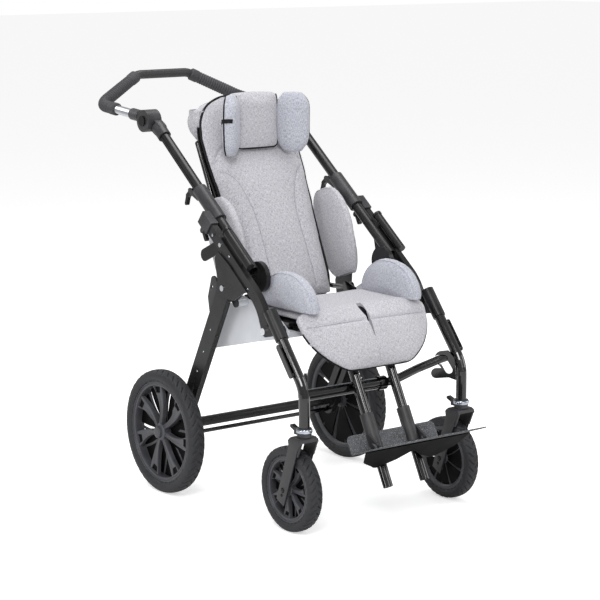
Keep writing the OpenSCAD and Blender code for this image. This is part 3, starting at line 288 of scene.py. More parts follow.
# CAD nodes whose finish isn't the one of their material slot
NODE_LOOK = {
    # the bracket under the foot plate takes the painted-shade black, darker and duller than its gloss black paint
    "foot_plate": "sole", "plate_bracket": "painted_shade_black", "headrest_stem": "upholstery",
    "lateral_bracket_left": "black_plastic", "lateral_bracket_right": "black_plastic",
}
SLOT_OF = {s["node"]: s["material_slot"] for s in frame["record"]["subparts"]}
for node_name, node_obj in NODES.items():
    node_obj.data.materials.clear()
    node_obj.data.materials.append(M[NODE_LOOK.get(node_name, SLOT_OF[node_name])])


def piece(name, mesh, look, body, sharp=35.0, replaces=()):
    """Makes a piece of a mesh in the row frame, gives it its finish, and lets it ride on its body."""
    mesh.name = name
    mesh.materials.clear()
    mesh.materials.append(M[look])
    for p in mesh.polygons:
        p.use_smooth = True
    mesh.set_sharp_from_angle(angle=math.radians(sharp))
    o = linked(name, mesh)
    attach(o, body)
    if replaces:
        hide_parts(*replaces)
    return o


def mesh_of(verts, faces):
    m = bpy.data.meshes.new("m")
    m.from_pydata([tuple(v) for v in verts], [], faces)
    bm = bmesh.new()
    bm.from_mesh(m)
    bmesh.ops.recalc_face_normals(bm, faces=bm.faces)
    bm.to_mesh(m)
    bm.free()
    return m


def cut_out(mesh, tool):
    """The mesh less the tool, both closed."""
    o, c = linked("kept", mesh), linked("cut", tool)
    mod = o.modifiers.new("b", "BOOLEAN")
    mod.object, mod.operation, mod.solver = c, "DIFFERENCE", "EXACT"
    out = applied(o)
    bpy.data.objects.remove(c)
    return out


def hexahedron(corners):
    """A closed box of any shape from its four first corners and the four that lie over them."""
    return mesh_of(corners, [(0, 1, 2, 3), (4, 5, 6, 7), (0, 1, 5, 4), (1, 2, 6, 5), (2, 3, 7, 6), (3, 0, 4, 7)])


def merged(*meshes):
    bm = bmesh.new()
    for m in meshes:
        bm.from_mesh(m)
    out = bpy.data.meshes.new("m")
    bm.to_mesh(out)
    bm.free()
    return out


def mirrored(mesh):
    m = mesh.copy()
    m.transform(Matrix.Scale(-1, 4, (1, 0, 0)))
    m.flip_normals()
    return m


def lathe(profile, segs=72, closed=False):
    """A surface round the X axis from (x, radius) points in millimetres, at the origin."""
    verts, faces, n = [], [], len(profile)
    for i in range(segs):
        a = 2 * math.pi * i / segs
        verts += [Vector((x, r * math.cos(a), r * math.sin(a))) * MM for x, r in profile]
    for i in range(segs):
        j = (i + 1) % segs
        for k in range(n if closed else n - 1):
            q = (k + 1) % n
            faces.append((i * n + k, j * n + k, j * n + q, i * n + q))
    if not closed:
        for k in (0, n - 1):
            if profile[k][1] > 1e-6:
                faces.append([i * n + k for i in range(segs)])
    m = mesh_of(verts, faces)
    bm = bmesh.new()
    bm.from_mesh(m)
    bmesh.ops.remove_doubles(bm, verts=bm.verts, dist=1e-6)
    bm.to_mesh(m)
    bm.free()
    return m


def moved(mesh, to, turn=None):
    m = mesh.copy()
    m.transform(Matrix.Translation(to) @ (turn or Matrix.Identity(4)))
    return m


def frames_along(pts, up, closed):
    """Each point with its two cross directions, on an open line or a closed one."""
    n, out = len(pts), []
    for i, p in enumerate(pts):
        if closed:
            t = (pts[(i + 1) % n] - pts[i - 1]).normalized()
        else:
            t = (pts[min(i + 1, n - 1)] - pts[max(i - 1, 0)]).normalized()
        side = t.cross(up).normalized()
        out.append((p, side, side.cross(t)))
    return out


def sweep(pts, section, up=Z, closed=False):
    """Sweeps a section, a function of the point's index to [(a, b) mm], along points in metres."""
    verts, faces, rows = [], [], len(pts)
    for i, (p, a, b) in enumerate(frames_along(pts, up, closed)):
        sec = section(i)
        verts += [p + (a * u + b * w) * MM for u, w in sec]
    k = len(sec)
    for i in range(rows if closed else rows - 1):
        j = (i + 1) % rows
        for q in range(k):
            r = (q + 1) % k
            faces.append((i * k + q, j * k + q, j * k + r, i * k + r))
    if not closed:
        faces.append(list(range(k)))
        faces.append([(rows - 1) * k + q for q in range(k)])
    return mesh_of(verts, faces)


def ring(r, n):
    return [(r * math.cos(2 * math.pi * i / n), r * math.sin(2 * math.pi * i / n)) for i in range(n)]


def tube(pts, r, sides, up=Z, closed=False):
    sec = ring(r, sides)
    return sweep(pts, lambda i: sec, up, closed)


def ribbon(pts, thick, wide):
    """A flat band along points in metres, thick and wide being halves in millimetres."""
    return sweep(pts, lambda i: [(-thick, -wide), (thick, -wide), (thick, wide), (-thick, wide)])


def loop_tube(pts, step, r, up):
    """A closed cord of eight sides, or six where it is thinner than a millimetre."""
    return tube(resampled(pts + pts[:1], step)[:-1], r, 8 if r > 1 else 6, up=up, closed=True)


def rounded_path(pts, radius, steps=10):
    """Points in metres along corners rounded to the radius in millimetres."""
    out = [pts[0]]
    for i in range(1, len(pts) - 1):
        u, v = (pts[i] - pts[i - 1]).normalized(), (pts[i + 1] - pts[i]).normalized()
        t = u.angle(v)
        r = radius * MM
        c = pts[i] + (v - u).normalized() * r / math.cos(t / 2)
        e = (pts[i] - u * r * math.tan(t / 2) - c) / r
        out += [c + r * (math.cos(t * k / steps) * e + math.sin(t * k / steps) * u) for k in range(steps + 1)]
    return out + [pts[-1]]


def resampled(pts, step):
    """Evenly spaced points along a line of points, step in millimetres."""
    dist = [0.0]
    for a, b in zip(pts, pts[1:]):
        dist.append(dist[-1] + (b - a).length)
    n = max(2, round(dist[-1] / (step * MM)))
    out, k = [], 0
    for i in range(n + 1):
        d = dist[-1] * i / n
        while k < len(dist) - 2 and dist[k + 1] < d:
            k += 1
        out.append(pts[k].lerp(pts[k + 1], (d - dist[k]) / max(1e-9, dist[k + 1] - dist[k])))
    return out


def bevelled(mesh, width):
    """Rounds a mesh's edges that are sharper than 30 degrees."""
    bm = bmesh.new()
    bm.from_mesh(mesh)
    bmesh.ops.remove_doubles(bm, verts=bm.verts, dist=1e-6)
    bmesh.ops.dissolve_limit(bm, angle_limit=math.radians(1.0), verts=bm.verts, edges=bm.edges)
    edges = [e for e in bm.edges if e.is_manifold and e.calc_face_angle(0) > math.radians(30)]
    bmesh.ops.bevel(bm, geom=edges, offset=width * MM, segments=2, affect="EDGES", profile=0.6, clamp_overlap=True)
    bm.to_mesh(mesh)
    bm.free()
    return mesh


def plate(outline, x0, x1, bevel):
    """A flat plate drawn as (y, z) points, from x0 to x1 in millimetres."""
    bm = bmesh.new()
    vs = [bm.verts.new(P(x0, *p)) for p in outline]
    edges = [bm.edges.new((vs[i], vs[(i + 1) % len(vs)])) for i in range(len(vs))]
    bmesh.ops.triangle_fill(bm, use_beauty=True, use_dissolve=False, edges=edges)
    geom = bmesh.ops.extrude_face_region(bm, geom=list(bm.faces))
    far = [g for g in geom["geom"] if isinstance(g, bmesh.types.BMVert)]
    bmesh.ops.translate(bm, vec=Vector((x1 - x0, 0, 0)) * MM, verts=far)
    bmesh.ops.recalc_face_normals(bm, faces=bm.faces)
    m = bpy.data.meshes.new("m")
    bm.to_mesh(m)
    bm.free()
    return bevelled(m, bevel)


def both(name, mesh, look, body_left, body_right=None, replaces=(), **kw):
    """The same mesh on the left (+X) and, mirrored, on the right."""
    piece(name + "_left", mesh, look, body_left, replaces=replaces, **kw)
    piece(name + "_right", mirrored(mesh), look, body_right or body_left, **kw)


def on_side(mesh, sd):
    """A copy of a mesh made for the left, for the side sd."""
    return mesh.copy() if sd > 0 else mirrored(mesh)


def dome_head(c, r, h, outward=1):
    """A domed screw head about X at the point c, standing out by h, with a round recess."""
    prof = [(0, r), (h * 0.25, r), (h * 0.6, r * 0.86), (h * 0.88, r * 0.62),
            (h, r * 0.46), (h * 0.99, r * 0.42), (h * 0.4, r * 0.38), (h * 0.4, 0)]
    return moved(lathe([(outward * x, rr) for x, rr in prof], 24), c)


# ---------------- soft goods
def islands(node):
    """The separate solids of a CAD node as meshes, in order of x."""
    src = NODES[node].data
    bm = bmesh.new()
    bm.from_mesh(src)
    bmesh.ops.remove_doubles(bm, verts=bm.verts, dist=1e-5)
    seen, groups = set(), []
    for v in bm.verts:
        if v in seen:
            continue
        todo, group = [v], []
        seen.add(v)
        while todo:
            w = todo.pop()
            group.append(w)
            for e in w.link_edges:
                x = e.other_vert(w)
                if x not in seen:
                    seen.add(x)
                    todo.append(x)
        groups.append(group)
    out = []
    for group in groups:
        keep = {v.index for v in group}
        b = bm.copy()
        b.verts.ensure_lookup_table()
        bmesh.ops.delete(b, geom=[v for v in b.verts if v.index not in keep], context="VERTS")
        m = bpy.data.meshes.new("soft")
        b.to_mesh(m)
        b.free()
        out.append(m)
    bm.free()
    return sorted(out, key=lambda m: (round(sum(v.co.x for v in m.vertices) / len(m.vertices), 3), -len(m.vertices)))


def applied(o):
    """The object's mesh with its modifiers, the object being removed."""
    dg = bpy.context.evaluated_depsgraph_get()
    m = bpy.data.meshes.new_from_object(o.evaluated_get(dg))
    old = o.data
    bpy.data.objects.remove(o)
    bpy.data.meshes.remove(old)
    return m


def ease(o, times):
    sm = o.modifiers.new("s", "SMOOTH")
    sm.factor = 0.5
    sm.iterations = times


CLOTH_FRAMES, CLOTH_PRESSURE = 20, 4.0
TUCK = 0.8   # millimetres that a form draws in before it is blown up


def inflated(mesh, voxel, cap, even=6, hold=None):
    """Remeshes a padded form, eases its facets, blows it up as cloth and subdivides it once. No point moves
    more than cap, and hold(point) from 0 to 1 says how far a point of the form is kept from swelling."""
    o = linked("soft", mesh)
    bpy.context.view_layer.objects.active = o
    rm = o.modifiers.new("r", "REMESH")
    rm.mode = "VOXEL"
    rm.voxel_size = voxel * MM
    ease(o, even)
    m = applied(o)
    start = [v.co - v.normal * TUCK * MM for v in m.vertices]
    for v, c in zip(m.vertices, start):
        v.co = c
    o = linked("soft", m)
    cl = o.modifiers.new("c", "CLOTH")
    st = cl.settings
    st.quality = 4
    st.mass = 0.3
    st.tension_stiffness = st.compression_stiffness = 18
    st.shear_stiffness = 8
    st.bending_stiffness = 1.2
    st.use_pressure = True
    st.uniform_pressure_force = CLOTH_PRESSURE
    st.effector_weights.gravity = 0
    cl.point_cache.frame_start, cl.point_cache.frame_end = 1, CLOTH_FRAMES
    for f in range(1, CLOTH_FRAMES + 1):
        SCENE.frame_set(f)
    m = applied(o)
    SCENE.frame_set(1)
    for v, c in zip(m.vertices, start):
        d = v.co - c
        lim = cap * MM * (1 - (hold(c) if hold else 0.0))
        if d.length > lim:
            v.co = c + d * (lim / d.length if d.length > 1e-9 else 0)
    o = linked("soft", m)
    ease(o, 2)
    su = o.modifiers.new("u", "SUBSURF")
    su.levels = su.render_levels = 1
    return applied(o)


def pressed(mesh, lines, depth, width, facing=None):
    """Draws the surface in along lines of points, as a sewn seam does. facing, a vector, limits it to that side."""
    pts = [p for line in lines for p in resampled(line, 3.0)]
    tree = KDTree(len(pts))
    for i, p in enumerate(pts):
        tree.insert(p, i)
    tree.balance()
    mesh.update()
    for v in mesh.vertices:
        if facing is not None and v.normal.dot(facing) < 0.1:
            continue
        d = tree.find(v.co)[2] / MM
        if d < width:
            v.co = v.co - v.normal * depth * MM * (0.5 + 0.5 * math.cos(math.pi * d / width)) ** 1.5
    return mesh


class Skin:
    """A mesh's surface, to lay lines on."""

    def __init__(self, mesh):
        mesh.update()
        faces = [tuple(p.vertices) for p in mesh.polygons]
        self.tree = BVHTree.FromPolygons([v.co.copy() for v in mesh.vertices], faces)

    def hit(self, origin, direction, lift=0.0):
        h = self.tree.ray_cast(origin, direction)
        return None if h[0] is None else h[0] + h[1] * lift * MM

    def near(self, p, lift=0.0):
        h = self.tree.find_nearest(p)
        return h[0] + h[1] * lift * MM

    def line(self, pts, direction, lift=0.0):
        """Points thrown onto the surface along a direction from outside."""
        out = []
        for p in pts:
            q = self.hit(p - direction * 0.3, direction, lift)
            if q is not None:
                out.append(q)
        return out


def rim_line(mesh, centre, u, v, n, push=0.0):
    """The outermost line of a padded form seen along u x v: the farthest point in each direction from its centre."""
    w = u.cross(v)
    best = [None] * n
    for vert in mesh.vertices:
        d = vert.co - centre
        a, b = d.dot(u), d.dot(v)
        i = int((math.atan2(b, a) / (2 * math.pi) % 1.0) * n) % n
        r = math.hypot(a, b)
        if best[i] is None or r > best[i][0]:
            best[i] = (r, d.dot(w))
    known = [i for i in range(n) if best[i]]
    for i in range(n):
        if best[i] is None:
            best[i] = best[min(known, key=lambda k: min(abs(k - i), n - abs(k - i)))]
    pts = []
    for i in range(n):
        r = sum(best[(i + k) % n][0] for k in (-2, -1, 0, 1, 2)) / 5 + push * MM
        h = sum(best[(i + k) % n][1] for k in range(-4, 5)) / 9
        a = 2 * math.pi * (i + 0.5) / n
        pts.append(centre + u * (r * math.cos(a)) + v * (r * math.sin(a)) + w * h)
    return pts

def stitch(name, lines, body, r=0.55, look="thread"):
    """Sewing thread laid as one thin cord per line."""
    parts = [tube(resampled(l, 4.0), r, 6, up=Vector((0.3, -0.5, 0.8)).normalized()) for l in lines if len(l) > 1]
    return piece(name, merged(*parts), look, body, sharp=60)


def loft(place, half, front, rear, rows=44, sides=56, px=0.5, pv=0.5):
    """A padded form: place(x, t, h) puts a point that lies x across, t along (0 to 1) and h out of the middle."""
    verts, faces = [], []
    for i in range(rows + 1):
        t = (1 - math.cos(math.pi * i / rows)) / 2
        for j in range(sides):
            c, v = math.cos(2 * math.pi * j / sides), math.sin(2 * math.pi * j / sides)
            x = half(t) * math.copysign(abs(c) ** px, c)
            h = math.copysign(abs(v) ** pv, v) * (front(t) if v > 0 else rear(t))
            verts.append(place(x, t, h))
    for i in range(rows):
        for j in range(sides):
            k = (j + 1) % sides
            faces.append((i * sides + j, i * sides + k, (i + 1) * sides + k, (i + 1) * sides + j))
    faces += [list(range(sides)), [rows * sides + j for j in range(sides)]]
    return mesh_of(verts, faces)


def plump(t, power, low=0.25):
    return max(low, math.sqrt(max(0.0, 1 - abs(2 * t - 1) ** power)))


# the seat cushion, its slit, seam, piping and crown
SEAT_REAR, SEAT_FRONT, SEAT_MID = 10, -196, 472.7   # y of its ends and z of its middle
SEAT_ARC, TONGUE, TONGUE_LEN = 22.0, math.radians(61), 128   # the bend at the front and the tongue below it
SEAT_FLAT = SEAT_REAR - (SEAT_FRONT + SEAT_ARC)
SEAT_LEN = SEAT_FLAT + SEAT_ARC * TONGUE + TONGUE_LEN


def seat_spine(s):
    """(y, z, slope) at s along the cushion's middle, from the back over the front edge down the tongue."""
    if s < SEAT_FLAT:
        return SEAT_REAR - s, SEAT_MID, 0.0
    a = min((s - SEAT_FLAT) / SEAT_ARC, TONGUE)
    e = max(0.0, s - SEAT_FLAT - SEAT_ARC * TONGUE)
    return (SEAT_FRONT + SEAT_ARC - SEAT_ARC * math.sin(a) - e * math.cos(TONGUE),
            SEAT_MID - SEAT_ARC + SEAT_ARC * math.cos(a) - e * math.sin(TONGUE), a)


def seat_place(x, t, h):
    y, z, a = seat_spine(t * SEAT_LEN)
    return P(x, y - math.sin(a) * h, z + math.cos(a) * h)


def seat_half(t):
    s = t * SEAT_LEN
    wide = 169 - 8 * max(0.0, 1 - 2 * t) ** 3 + 20 * smooth(SEAT_FLAT - 8, SEAT_FLAT + 12, s)
    return wide - 98 * max(0.0, (t - 0.5) / 0.5) ** 3.2


def seat_crown(t):
    swell = 5.0 * math.sin(math.pi * min(1, (t - 0.5) * 2)) if t > 0.5 else 0
    return (11.6 + swell) * plump(t, 14, 0.6)


def seat_hold(c):
    """The underside keeps to the tray, except on the tongue."""
    return smooth(0.476, 0.468, c.z) if c.y > P(0, -185, 0).y else 0


def seam_across(xs, z):
    """Points before the tongue at these x, a little lower towards the sides."""
    return [P(x, -300, z - 2 * (abs(x) / 170) ** 2) for x in xs]


seat = inflated(loft(seat_place, seat_half, seat_crown, lambda t: 11 * plump(t, 14, 0.6), 70, 72, 0.34, 0.36),
                voxel=5.5, cap=5, even=4, hold=seat_hold)
skin = Skin(seat)
into = Vector((0, 1, -0.25)).normalized()
cross_seam = skin.line(seam_across(range(-174, 175, 6), 479.5), into)
mid_seam = skin.line([P(0, -330, z) for z in range(418, 380, -3)], into)
pressed(seat, [cross_seam], 2.4, 8)
pressed(seat, [mid_seam], 1.2, 6)

def slit_wedge(out, inn, grow):
    """A wedge that follows the seat's front edge from the top down the tongue."""
    # y where it is still on the flat, degrees round the edge, millimetres down the tongue, half width
    rows = [(-171, 0, 0, 6.0), (-174, 6, 0, 7.4), (0, 24, 0, 7.8), (0, 44, 0, 7.2), (0, 61, 0, 6.0),
            (0, 61, 28, 3.2), (0, 61, 56, 0.5)]
    verts, faces = [], []
    for y, a, e, w in rows:
        a = math.radians(a)
        c, d = (y or SEAT_FRONT + SEAT_ARC, SEAT_MID - SEAT_ARC), (-math.sin(a), math.cos(a))
        for x, r in ((-w - grow, out), (w + grow, out), (w + grow, inn), (-w - grow, inn)):
            verts.append(P(x, c[0] + d[0] * (SEAT_ARC + r) - e * math.cos(a),
                           c[1] + d[1] * (SEAT_ARC + r) - e * math.sin(a)))
    for i in range(len(rows) - 1):
        for j in range(4):
            k = (j + 1) % 4
            faces.append((i * 4 + j, i * 4 + k, i * 4 + 4 + k, i * 4 + 4 + j))
    n = 4 * len(rows) - 4
    return mesh_of(verts, faces + [(0, 1, 2, 3), (n, n + 1, n + 2, n + 3)])


seat = cut_out(seat, slit_wedge(40, -3, 0.3))
# a black wedge of painted shade inside the slit
piece("seat_slit_shade", slit_wedge(8.5, -2, 0.8), "painted_shade_black", "frame")
seat_o = piece("seat_cushion_cover", seat, "linen_seat", "frame", replaces=("seat_cushion",))
skin = Skin(seat)
thread_lines = [skin.line(seam_across(xs, 479.7), into, 0.25) for xs in (range(-172, -12, 5), range(14, 173, 5))]
thread_lines.append(skin.line([P(0, -330, z) for z in range(414, 384, -3)], into, 0.25))
stitch("seat_seam_threads", thread_lines, "frame")


def tongue_edge():
    """The tongue's lower border: the farthest point of the cushion in each direction from its middle."""
    v = Vector((0, -math.cos(TONGUE), -math.sin(TONGUE)))
    c = P(0, -222, 420)
    line = rim_line(seat, c, X, v, 140, push=-0.6)
    keep = [p for p in line if (p - c).dot(v) > -0.03]
    return sorted(keep, key=lambda p: math.atan2((p - c).dot(v), (p - c).dot(X)))


piece("seat_piping", tube(resampled(tongue_edge(), 5), 2.3, 10), "piping", "frame", sharp=60)

# hip pads: half domes with a self-coloured border seam
hip = inflated(max(islands("hip_pads"), key=lambda m: m.vertices[0].co.x), voxel=5, cap=5,
               hold=lambda c: smooth(0.492, 0.484, c.z))
hip_rim = rim_line(hip, P(150, -110, 500), Y, Z, 110)
pressed(hip, [[p + X * s * 0.013 for p in hip_rim if p.z > 0.49] for s in (-1, 1)], 1.6, 6)
for sd, nm in SIDES:
    m = on_side(hip, sd)
    o = piece("hip_pad_" + nm, m, "linen_blue", "frame", replaces=("hip_pads",) if sd > 0 else ())
    skin = Skin(m)
    lines = [[skin.near(Vector((sd * p.x, p.y, p.z)) + X * s * 0.0135, 0.5) for p in hip_rim if p.z > 0.488]
             for s in (-1, 1)]
    stitch("hip_pad_cord_" + nm, lines, "frame", r=0.9, look="linen_blue")

# back cushion with its channels, side seams, piping and the pouch behind its top
back_foot = P(0, *back_at(0))
cushion_src = min(islands("back_cushion"), key=lambda m: max(v.co.y for v in m.vertices))   # the other is the pouch
back = inflated(cushion_src, voxel=6, cap=6, hold=lambda c: 0.9 * smooth(0.006, -0.004, (c - back_foot).dot(BN)))
# (|x|, z) on the front: the outer panel's curved seam and the two arcs at the shoulders
PANEL = [(120, 764), (104, 755), (90, 741), (78, 720), (69, 695), (63, 668), (61, 630), (61, 590), (62, 550),
         (63, 511), (64, 488)]
SHOULDER = [(126, 782), (121, 796), (108, 811), (90, 822), (70, 829), (55, 832)]
skin = Skin(back)
seams = []
for sd in (-1, 1):
    for line in (PANEL, SHOULDER):
        pts = [P(sd * x, 233 + (z - 802) * 0.486 - 60, z + 29) for x, z in line]
        seams.append(skin.line(resampled(pts, 4), -BN))
pressed(back, seams, 2.2, 8, facing=BN)
back_o = piece("back_cushion_cover", back, "upholstery", "back", replaces=("back_cushion",))
skin = Skin(back)
stitch("back_seam_threads", [[skin.near(p, 0.35) for p in l] for l in seams], "back")
back_c = P(0, *back_at(330))
back_rim = rim_line(back, back_c, X, BD, 180, push=0.4)
border = [p for p in back_rim if (p - back_foot).dot(BD) > 0.012]
border.sort(key=lambda p: math.atan2((p - back_c).dot(X), -(p - back_c).dot(BD)))
piece("back_piping", tube(resampled(border, 5), 3.0, 12, up=BN), "piping", "back", sharp=60)

def pouch_place(x, t, h):
    # beside the back's top the pouch comes forward past its border
    room = -8 + 20 * smooth(118, 130, abs(x)) * smooth(0.35, 0.6, t)
    y, z = back_at(386 + 140 * t, min(h - 40, room))
    return P(x, y, z)


pouch = inflated(loft(pouch_place, lambda t: (114 + 21 * smooth(0.25, 0.6, t)) * plump(t, 6, 0.72),
                      lambda t: 18 + 34 * smooth(0.35, 0.6, t), lambda t: 23 * plump(t, 4, 0.55), 36, 60, 0.4, 0.5),
                 voxel=6, cap=4, even=5)
pouch_o = piece("back_pouch", pouch, "upholstery", "back")
skin = Skin(pouch)
low_line = [skin.near(P(x, *back_at(398, -70)), 0.6) for x in range(-112, 113, 8)]
piece("pouch_band", ribbon(resampled(low_line, 6), 0.8, 9), "webbing", "back", sharp=50)
strap_line = []
for i in range(60):
    a = math.radians(-8 + 196 * i / 59)
    d = Vector((math.cos(a) * 1.7, math.sin(a), 0)).normalized()
    hit = skin.hit(P(0, 296, 898) + d * 0.3, -d, 0.8)
    if hit is not None:
        strap_line.append(hit)
piece("head_strap_band", ribbon(resampled(strap_line, 6), 0.7, 10), "upholstery", "headrest", sharp=50,
      replaces=("headrest_stem",))

# headrest: a middle pad and two wings turned forward, each with a black border, and a strap round the near wing
WING_TURN = math.radians(48)
W_U = Vector((math.cos(WING_TURN), -math.sin(WING_TURN), 0))   # across the left wing, forwards and outwards
W_N = Vector((-math.sin(WING_TURN), -math.cos(WING_TURN), 0))   # out of its inner face


def wing_place(x, t, h):
    return P(92.0 + W_U[0] * x + W_N[0] * h, 199.0 + W_U[1] * x + W_N[1] * h, 803 + 148 * t)


def mid_place(x, t, h):
    return P(x, 230 - h, 811 + 140 * t)


def mid_rear(t):
    """The middle pad reaches back to the cushion, which leans away from it upwards."""
    return min(2 + 62 * t, 40) * (1.9 - t if t > 0.9 else 1)


def wing_half(t):
    return 44 * plump(t, 4.5, 0.6) * (0.93 + 0.07 * t)


def wing_depth(t):
    return 20 * plump(t, 6, 0.6)


mid = inflated(loft(mid_place, lambda t: 67 - 3 * t, lambda t: 17 * plump(t, 6, 0.45) + 1, mid_rear, 36, 48, 0.4, 0.55),
               voxel=5.5, cap=5, even=5)
wing = inflated(loft(wing_place, wing_half, wing_depth, wing_depth, 36, 48, 0.5, 0.5), voxel=5, cap=5, even=5)
o = piece("head_pad_middle", mid, "upholstery", "headrest", replaces=("headrest_pad",))
wing_rim = rim_line(wing, wing_place(0, 0.5, 0), W_U, Z, 110, push=-0.8)
skin = Skin(wing)
edges = loop_tube([skin.near(p - W_N * 0.014, 0.5) for p in wing_rim], 5, 2.0, W_N)
for sd, nm in SIDES:
    o = piece("head_wing_" + nm, on_side(wing, sd), "linen_blue", "headrest")
    piece("head_wing_piping_" + nm, on_side(edges, sd), "piping", "headrest", sharp=60)
skin = Skin(mid)
u_line = rounded_path([P(-59, 100, 945), P(-61, 100, 818), P(61, 100, 818), P(59, 100, 945)], 12, 6)
u_line = [skin.hit(p, Y, 0.5) for p in resampled(u_line, 4)]
piece("head_pad_piping", tube(resampled([p for p in u_line if p], 4), 2.1, 8, up=-Y), "piping", "headrest", sharp=60)
near_wing = Skin(mirrored(wing))
near_u, near_n = Vector((-W_U.x, W_U.y, 0)), Vector((-W_N.x, W_N.y, 0))
wing_foot = wing_place(0, 0, 0)
strap = []
for i in range(30):
    a = math.radians(150 + 230 * i / 29)
    d = (near_u * math.cos(a) * 1.6 + near_n * math.sin(a)).normalized()
    centre = Vector((-wing_foot.x, wing_foot.y, 0)) + Vector((0, 0, 0.882 + 0.010 * math.cos(a)))
    hit = near_wing.hit(centre + d * 0.2, -d, 0.4)
    if hit is not None:
        strap.append(hit)
piece("head_strap", ribbon(resampled(strap, 5), 0.9, 5), "webbing", "headrest", sharp=50)
buckle_at = strap[int(len(strap) * 0.55)]
out_dir = (buckle_at - near_wing.near(buckle_at, -4)).normalized()
side_dir = out_dir.cross(Z).normalized()
buckle = [buckle_at + out_dir * 0.002 + side_dir * a * MM + Z * b * MM
          for a, b in ((-5, -7.5), (5, -7.5), (5, 7.5), (-5, 7.5))]
piece("head_buckle", loop_tube(buckle, 3, 1.3, out_dir), "zinc", "headrest", sharp=50)

# thorax pads with their light front seam
PAD_DIR, PAD_NRM, PAD_FOOT, PAD_LEN, PAD_X = (0.286, 0.958), (-0.958, 0.286), (95, 497), 228, 163


def thorax_place(x, t, h):
    return P(PAD_X + x, PAD_FOOT[0] + PAD_LEN * t * PAD_DIR[0] + h * PAD_NRM[0],
             PAD_FOOT[1] + PAD_LEN * t * PAD_DIR[1] + h * PAD_NRM[1])


pad = inflated(loft(thorax_place, lambda t: 16.4 * plump(t, 4, 0.5),
                    lambda t: 78 * max(0.06, 1 - (abs(t - 0.4) / 0.62) ** 2.2) ** 0.5,
                    lambda t: 45 + 18 * t - 24 * abs(2 * t - 1) ** 4, 40, 56, 0.5, 0.8),
               voxel=5, cap=3.5, even=5)
pad_rim = rim_line(pad, P(PAD_X, *along(PAD_FOOT, PAD_DIR, PAD_NRM, 110, 12)), Y, Z, 130)
pressed(pad, [[p - X * 0.011 for p in pad_rim]], 1.4, 6)
skin = Skin(pad)
pad_seam = loop_tube([skin.near(p - X * 0.0115, 0.5) for p in pad_rim], 5, 0.8, X)
for sd, nm in SIDES:
    body = "thorax_pad_" + nm
    o = piece("thorax_cover_" + nm, on_side(pad, sd), "upholstery", body, replaces=("lateral_pad_" + nm,))
    piece("thorax_seam_" + nm, on_side(pad_seam, sd), "upholstery", body, sharp=60)

# ---------------- wheels
# half of a tyre's section: (share of its width from the middle, share of its height below the tread)
TYRE_HALF = [
    (-0.36, 1.0), (-0.43, 0.9), (-0.47, 0.78), (-0.492, 0.66), (-0.5, 0.55), (-0.496, 0.46), (-0.486, 0.37),
    (-0.47, 0.28), (-0.448, 0.2), (-0.42, 0.14), (-0.385, 0.1), (-0.345, 0.07), (-0.3, 0.048), (-0.255, 0.034),
    (-0.21, 0.022), (-0.165, 0.012), (-0.12, 0.005), (-0.08, 0.0015), (-0.04, 0.0)]


def tyre_mesh(r, h, w, count):
    """Tyre about X with a herringbone of cut grooves round its tread and a fine rib on each wall."""
    prof = TYRE_HALF + [(0.0, 0.0)] + [(-a, b) for a, b in reversed(TYRE_HALF)]
    n = count * 14
    verts, faces, k = [], [], len(prof)
    pitch = 2 * math.pi / count
    for i in range(n):
        a = 2 * math.pi * i / n
        for fx, fh in prof:
            x, rr = fx * w, r - fh * h
            ax = abs(fx)
            cut = 0.0
            if ax < 0.46:
                shift = (0.95 * ax / 0.46 + (0.5 if fx > 0 else 0.0)) * pitch
                d = abs(((a + shift) / pitch + 0.5) % 1.0 - 0.5) * pitch * r
                reach = smooth(0.02, 0.05, ax) * smooth(0.46, 0.40, ax)
                cut = 2.4 * reach * smooth(2.0, 0.9, d)
                e = abs(((a + shift * 0.4) / pitch + 0.25) % 1.0 - 0.5) * pitch * r
                cut = max(cut, 1.6 * smooth(0.30, 0.36, ax) * smooth(0.5, 0.44, ax) * smooth(2.0, 1.0, e))
            rib = 0.5 if 0.6 < fh < 0.7 else 0.0
            verts.append(Vector((x + math.copysign(rib, fx), (rr - cut) * math.cos(a), (rr - cut) * math.sin(a))) * MM)
    for i in range(n):
        j = (i + 1) % n
        for q in range(k):
            p = (q + 1) % k
            faces.append((i * k + q, j * k + q, j * k + p, i * k + p))
    return mesh_of(verts, faces)


def spoke_mesh(r0, r1, widths, face, back, bow):
    """One spoke along +Z: widths(q), face(q), back(q) over the share q of its length, bowed sideways by bow."""
    rows, verts, faces = 16, [], []
    for i in range(rows + 1):
        q = i / rows
        rad = r0 + (r1 - r0) * q
        wd, f, b = widths(q) / 2, face(q), back(q)
        off = bow * math.sin(math.pi * q)
        sec = [(b, -wd), (f - 2.2, -wd), (f - 0.6, -wd + 0.7), (f, -wd + 2.2), (f - 1.0, -wd * 0.35), (f - 1.3, 0),
               (f - 1.0, wd * 0.35), (f, wd - 2.2), (f - 0.6, wd - 0.7), (f - 2.2, wd), (b, wd)]
        verts += [Vector((x, u + off, rad)) * MM for x, u in sec]
    k = len(sec)
    for i in range(rows):
        for j in range(k):
            m = (j + 1) % k
            faces.append((i * k + j, i * k + m, (i + 1) * k + m, (i + 1) * k + j))
    faces += [list(range(k)), [rows * k + j for j in range(k)]]
    return mesh_of(verts, faces)


def spun(mesh, n, start=0.0):
    """n copies round the X axis, the first at start degrees."""
    turns = [math.radians(start) + 2 * math.pi * i / n for i in range(n)]
    return merged(*[moved(mesh, Vector(), Matrix.Rotation(a, 4, "X")) for a in turns])


SPOKES = 7
TYRES = {f"{end}_wheel_{nm}": f"{end}_tyre_{nm}" for end in ("rear", "front") for nm in ("left", "right")}
RIMS = {k: v.replace("tyre", "rim") for k, v in TYRES.items()}
HALF_TURN = Matrix.Rotation(math.pi, 4, "Z")


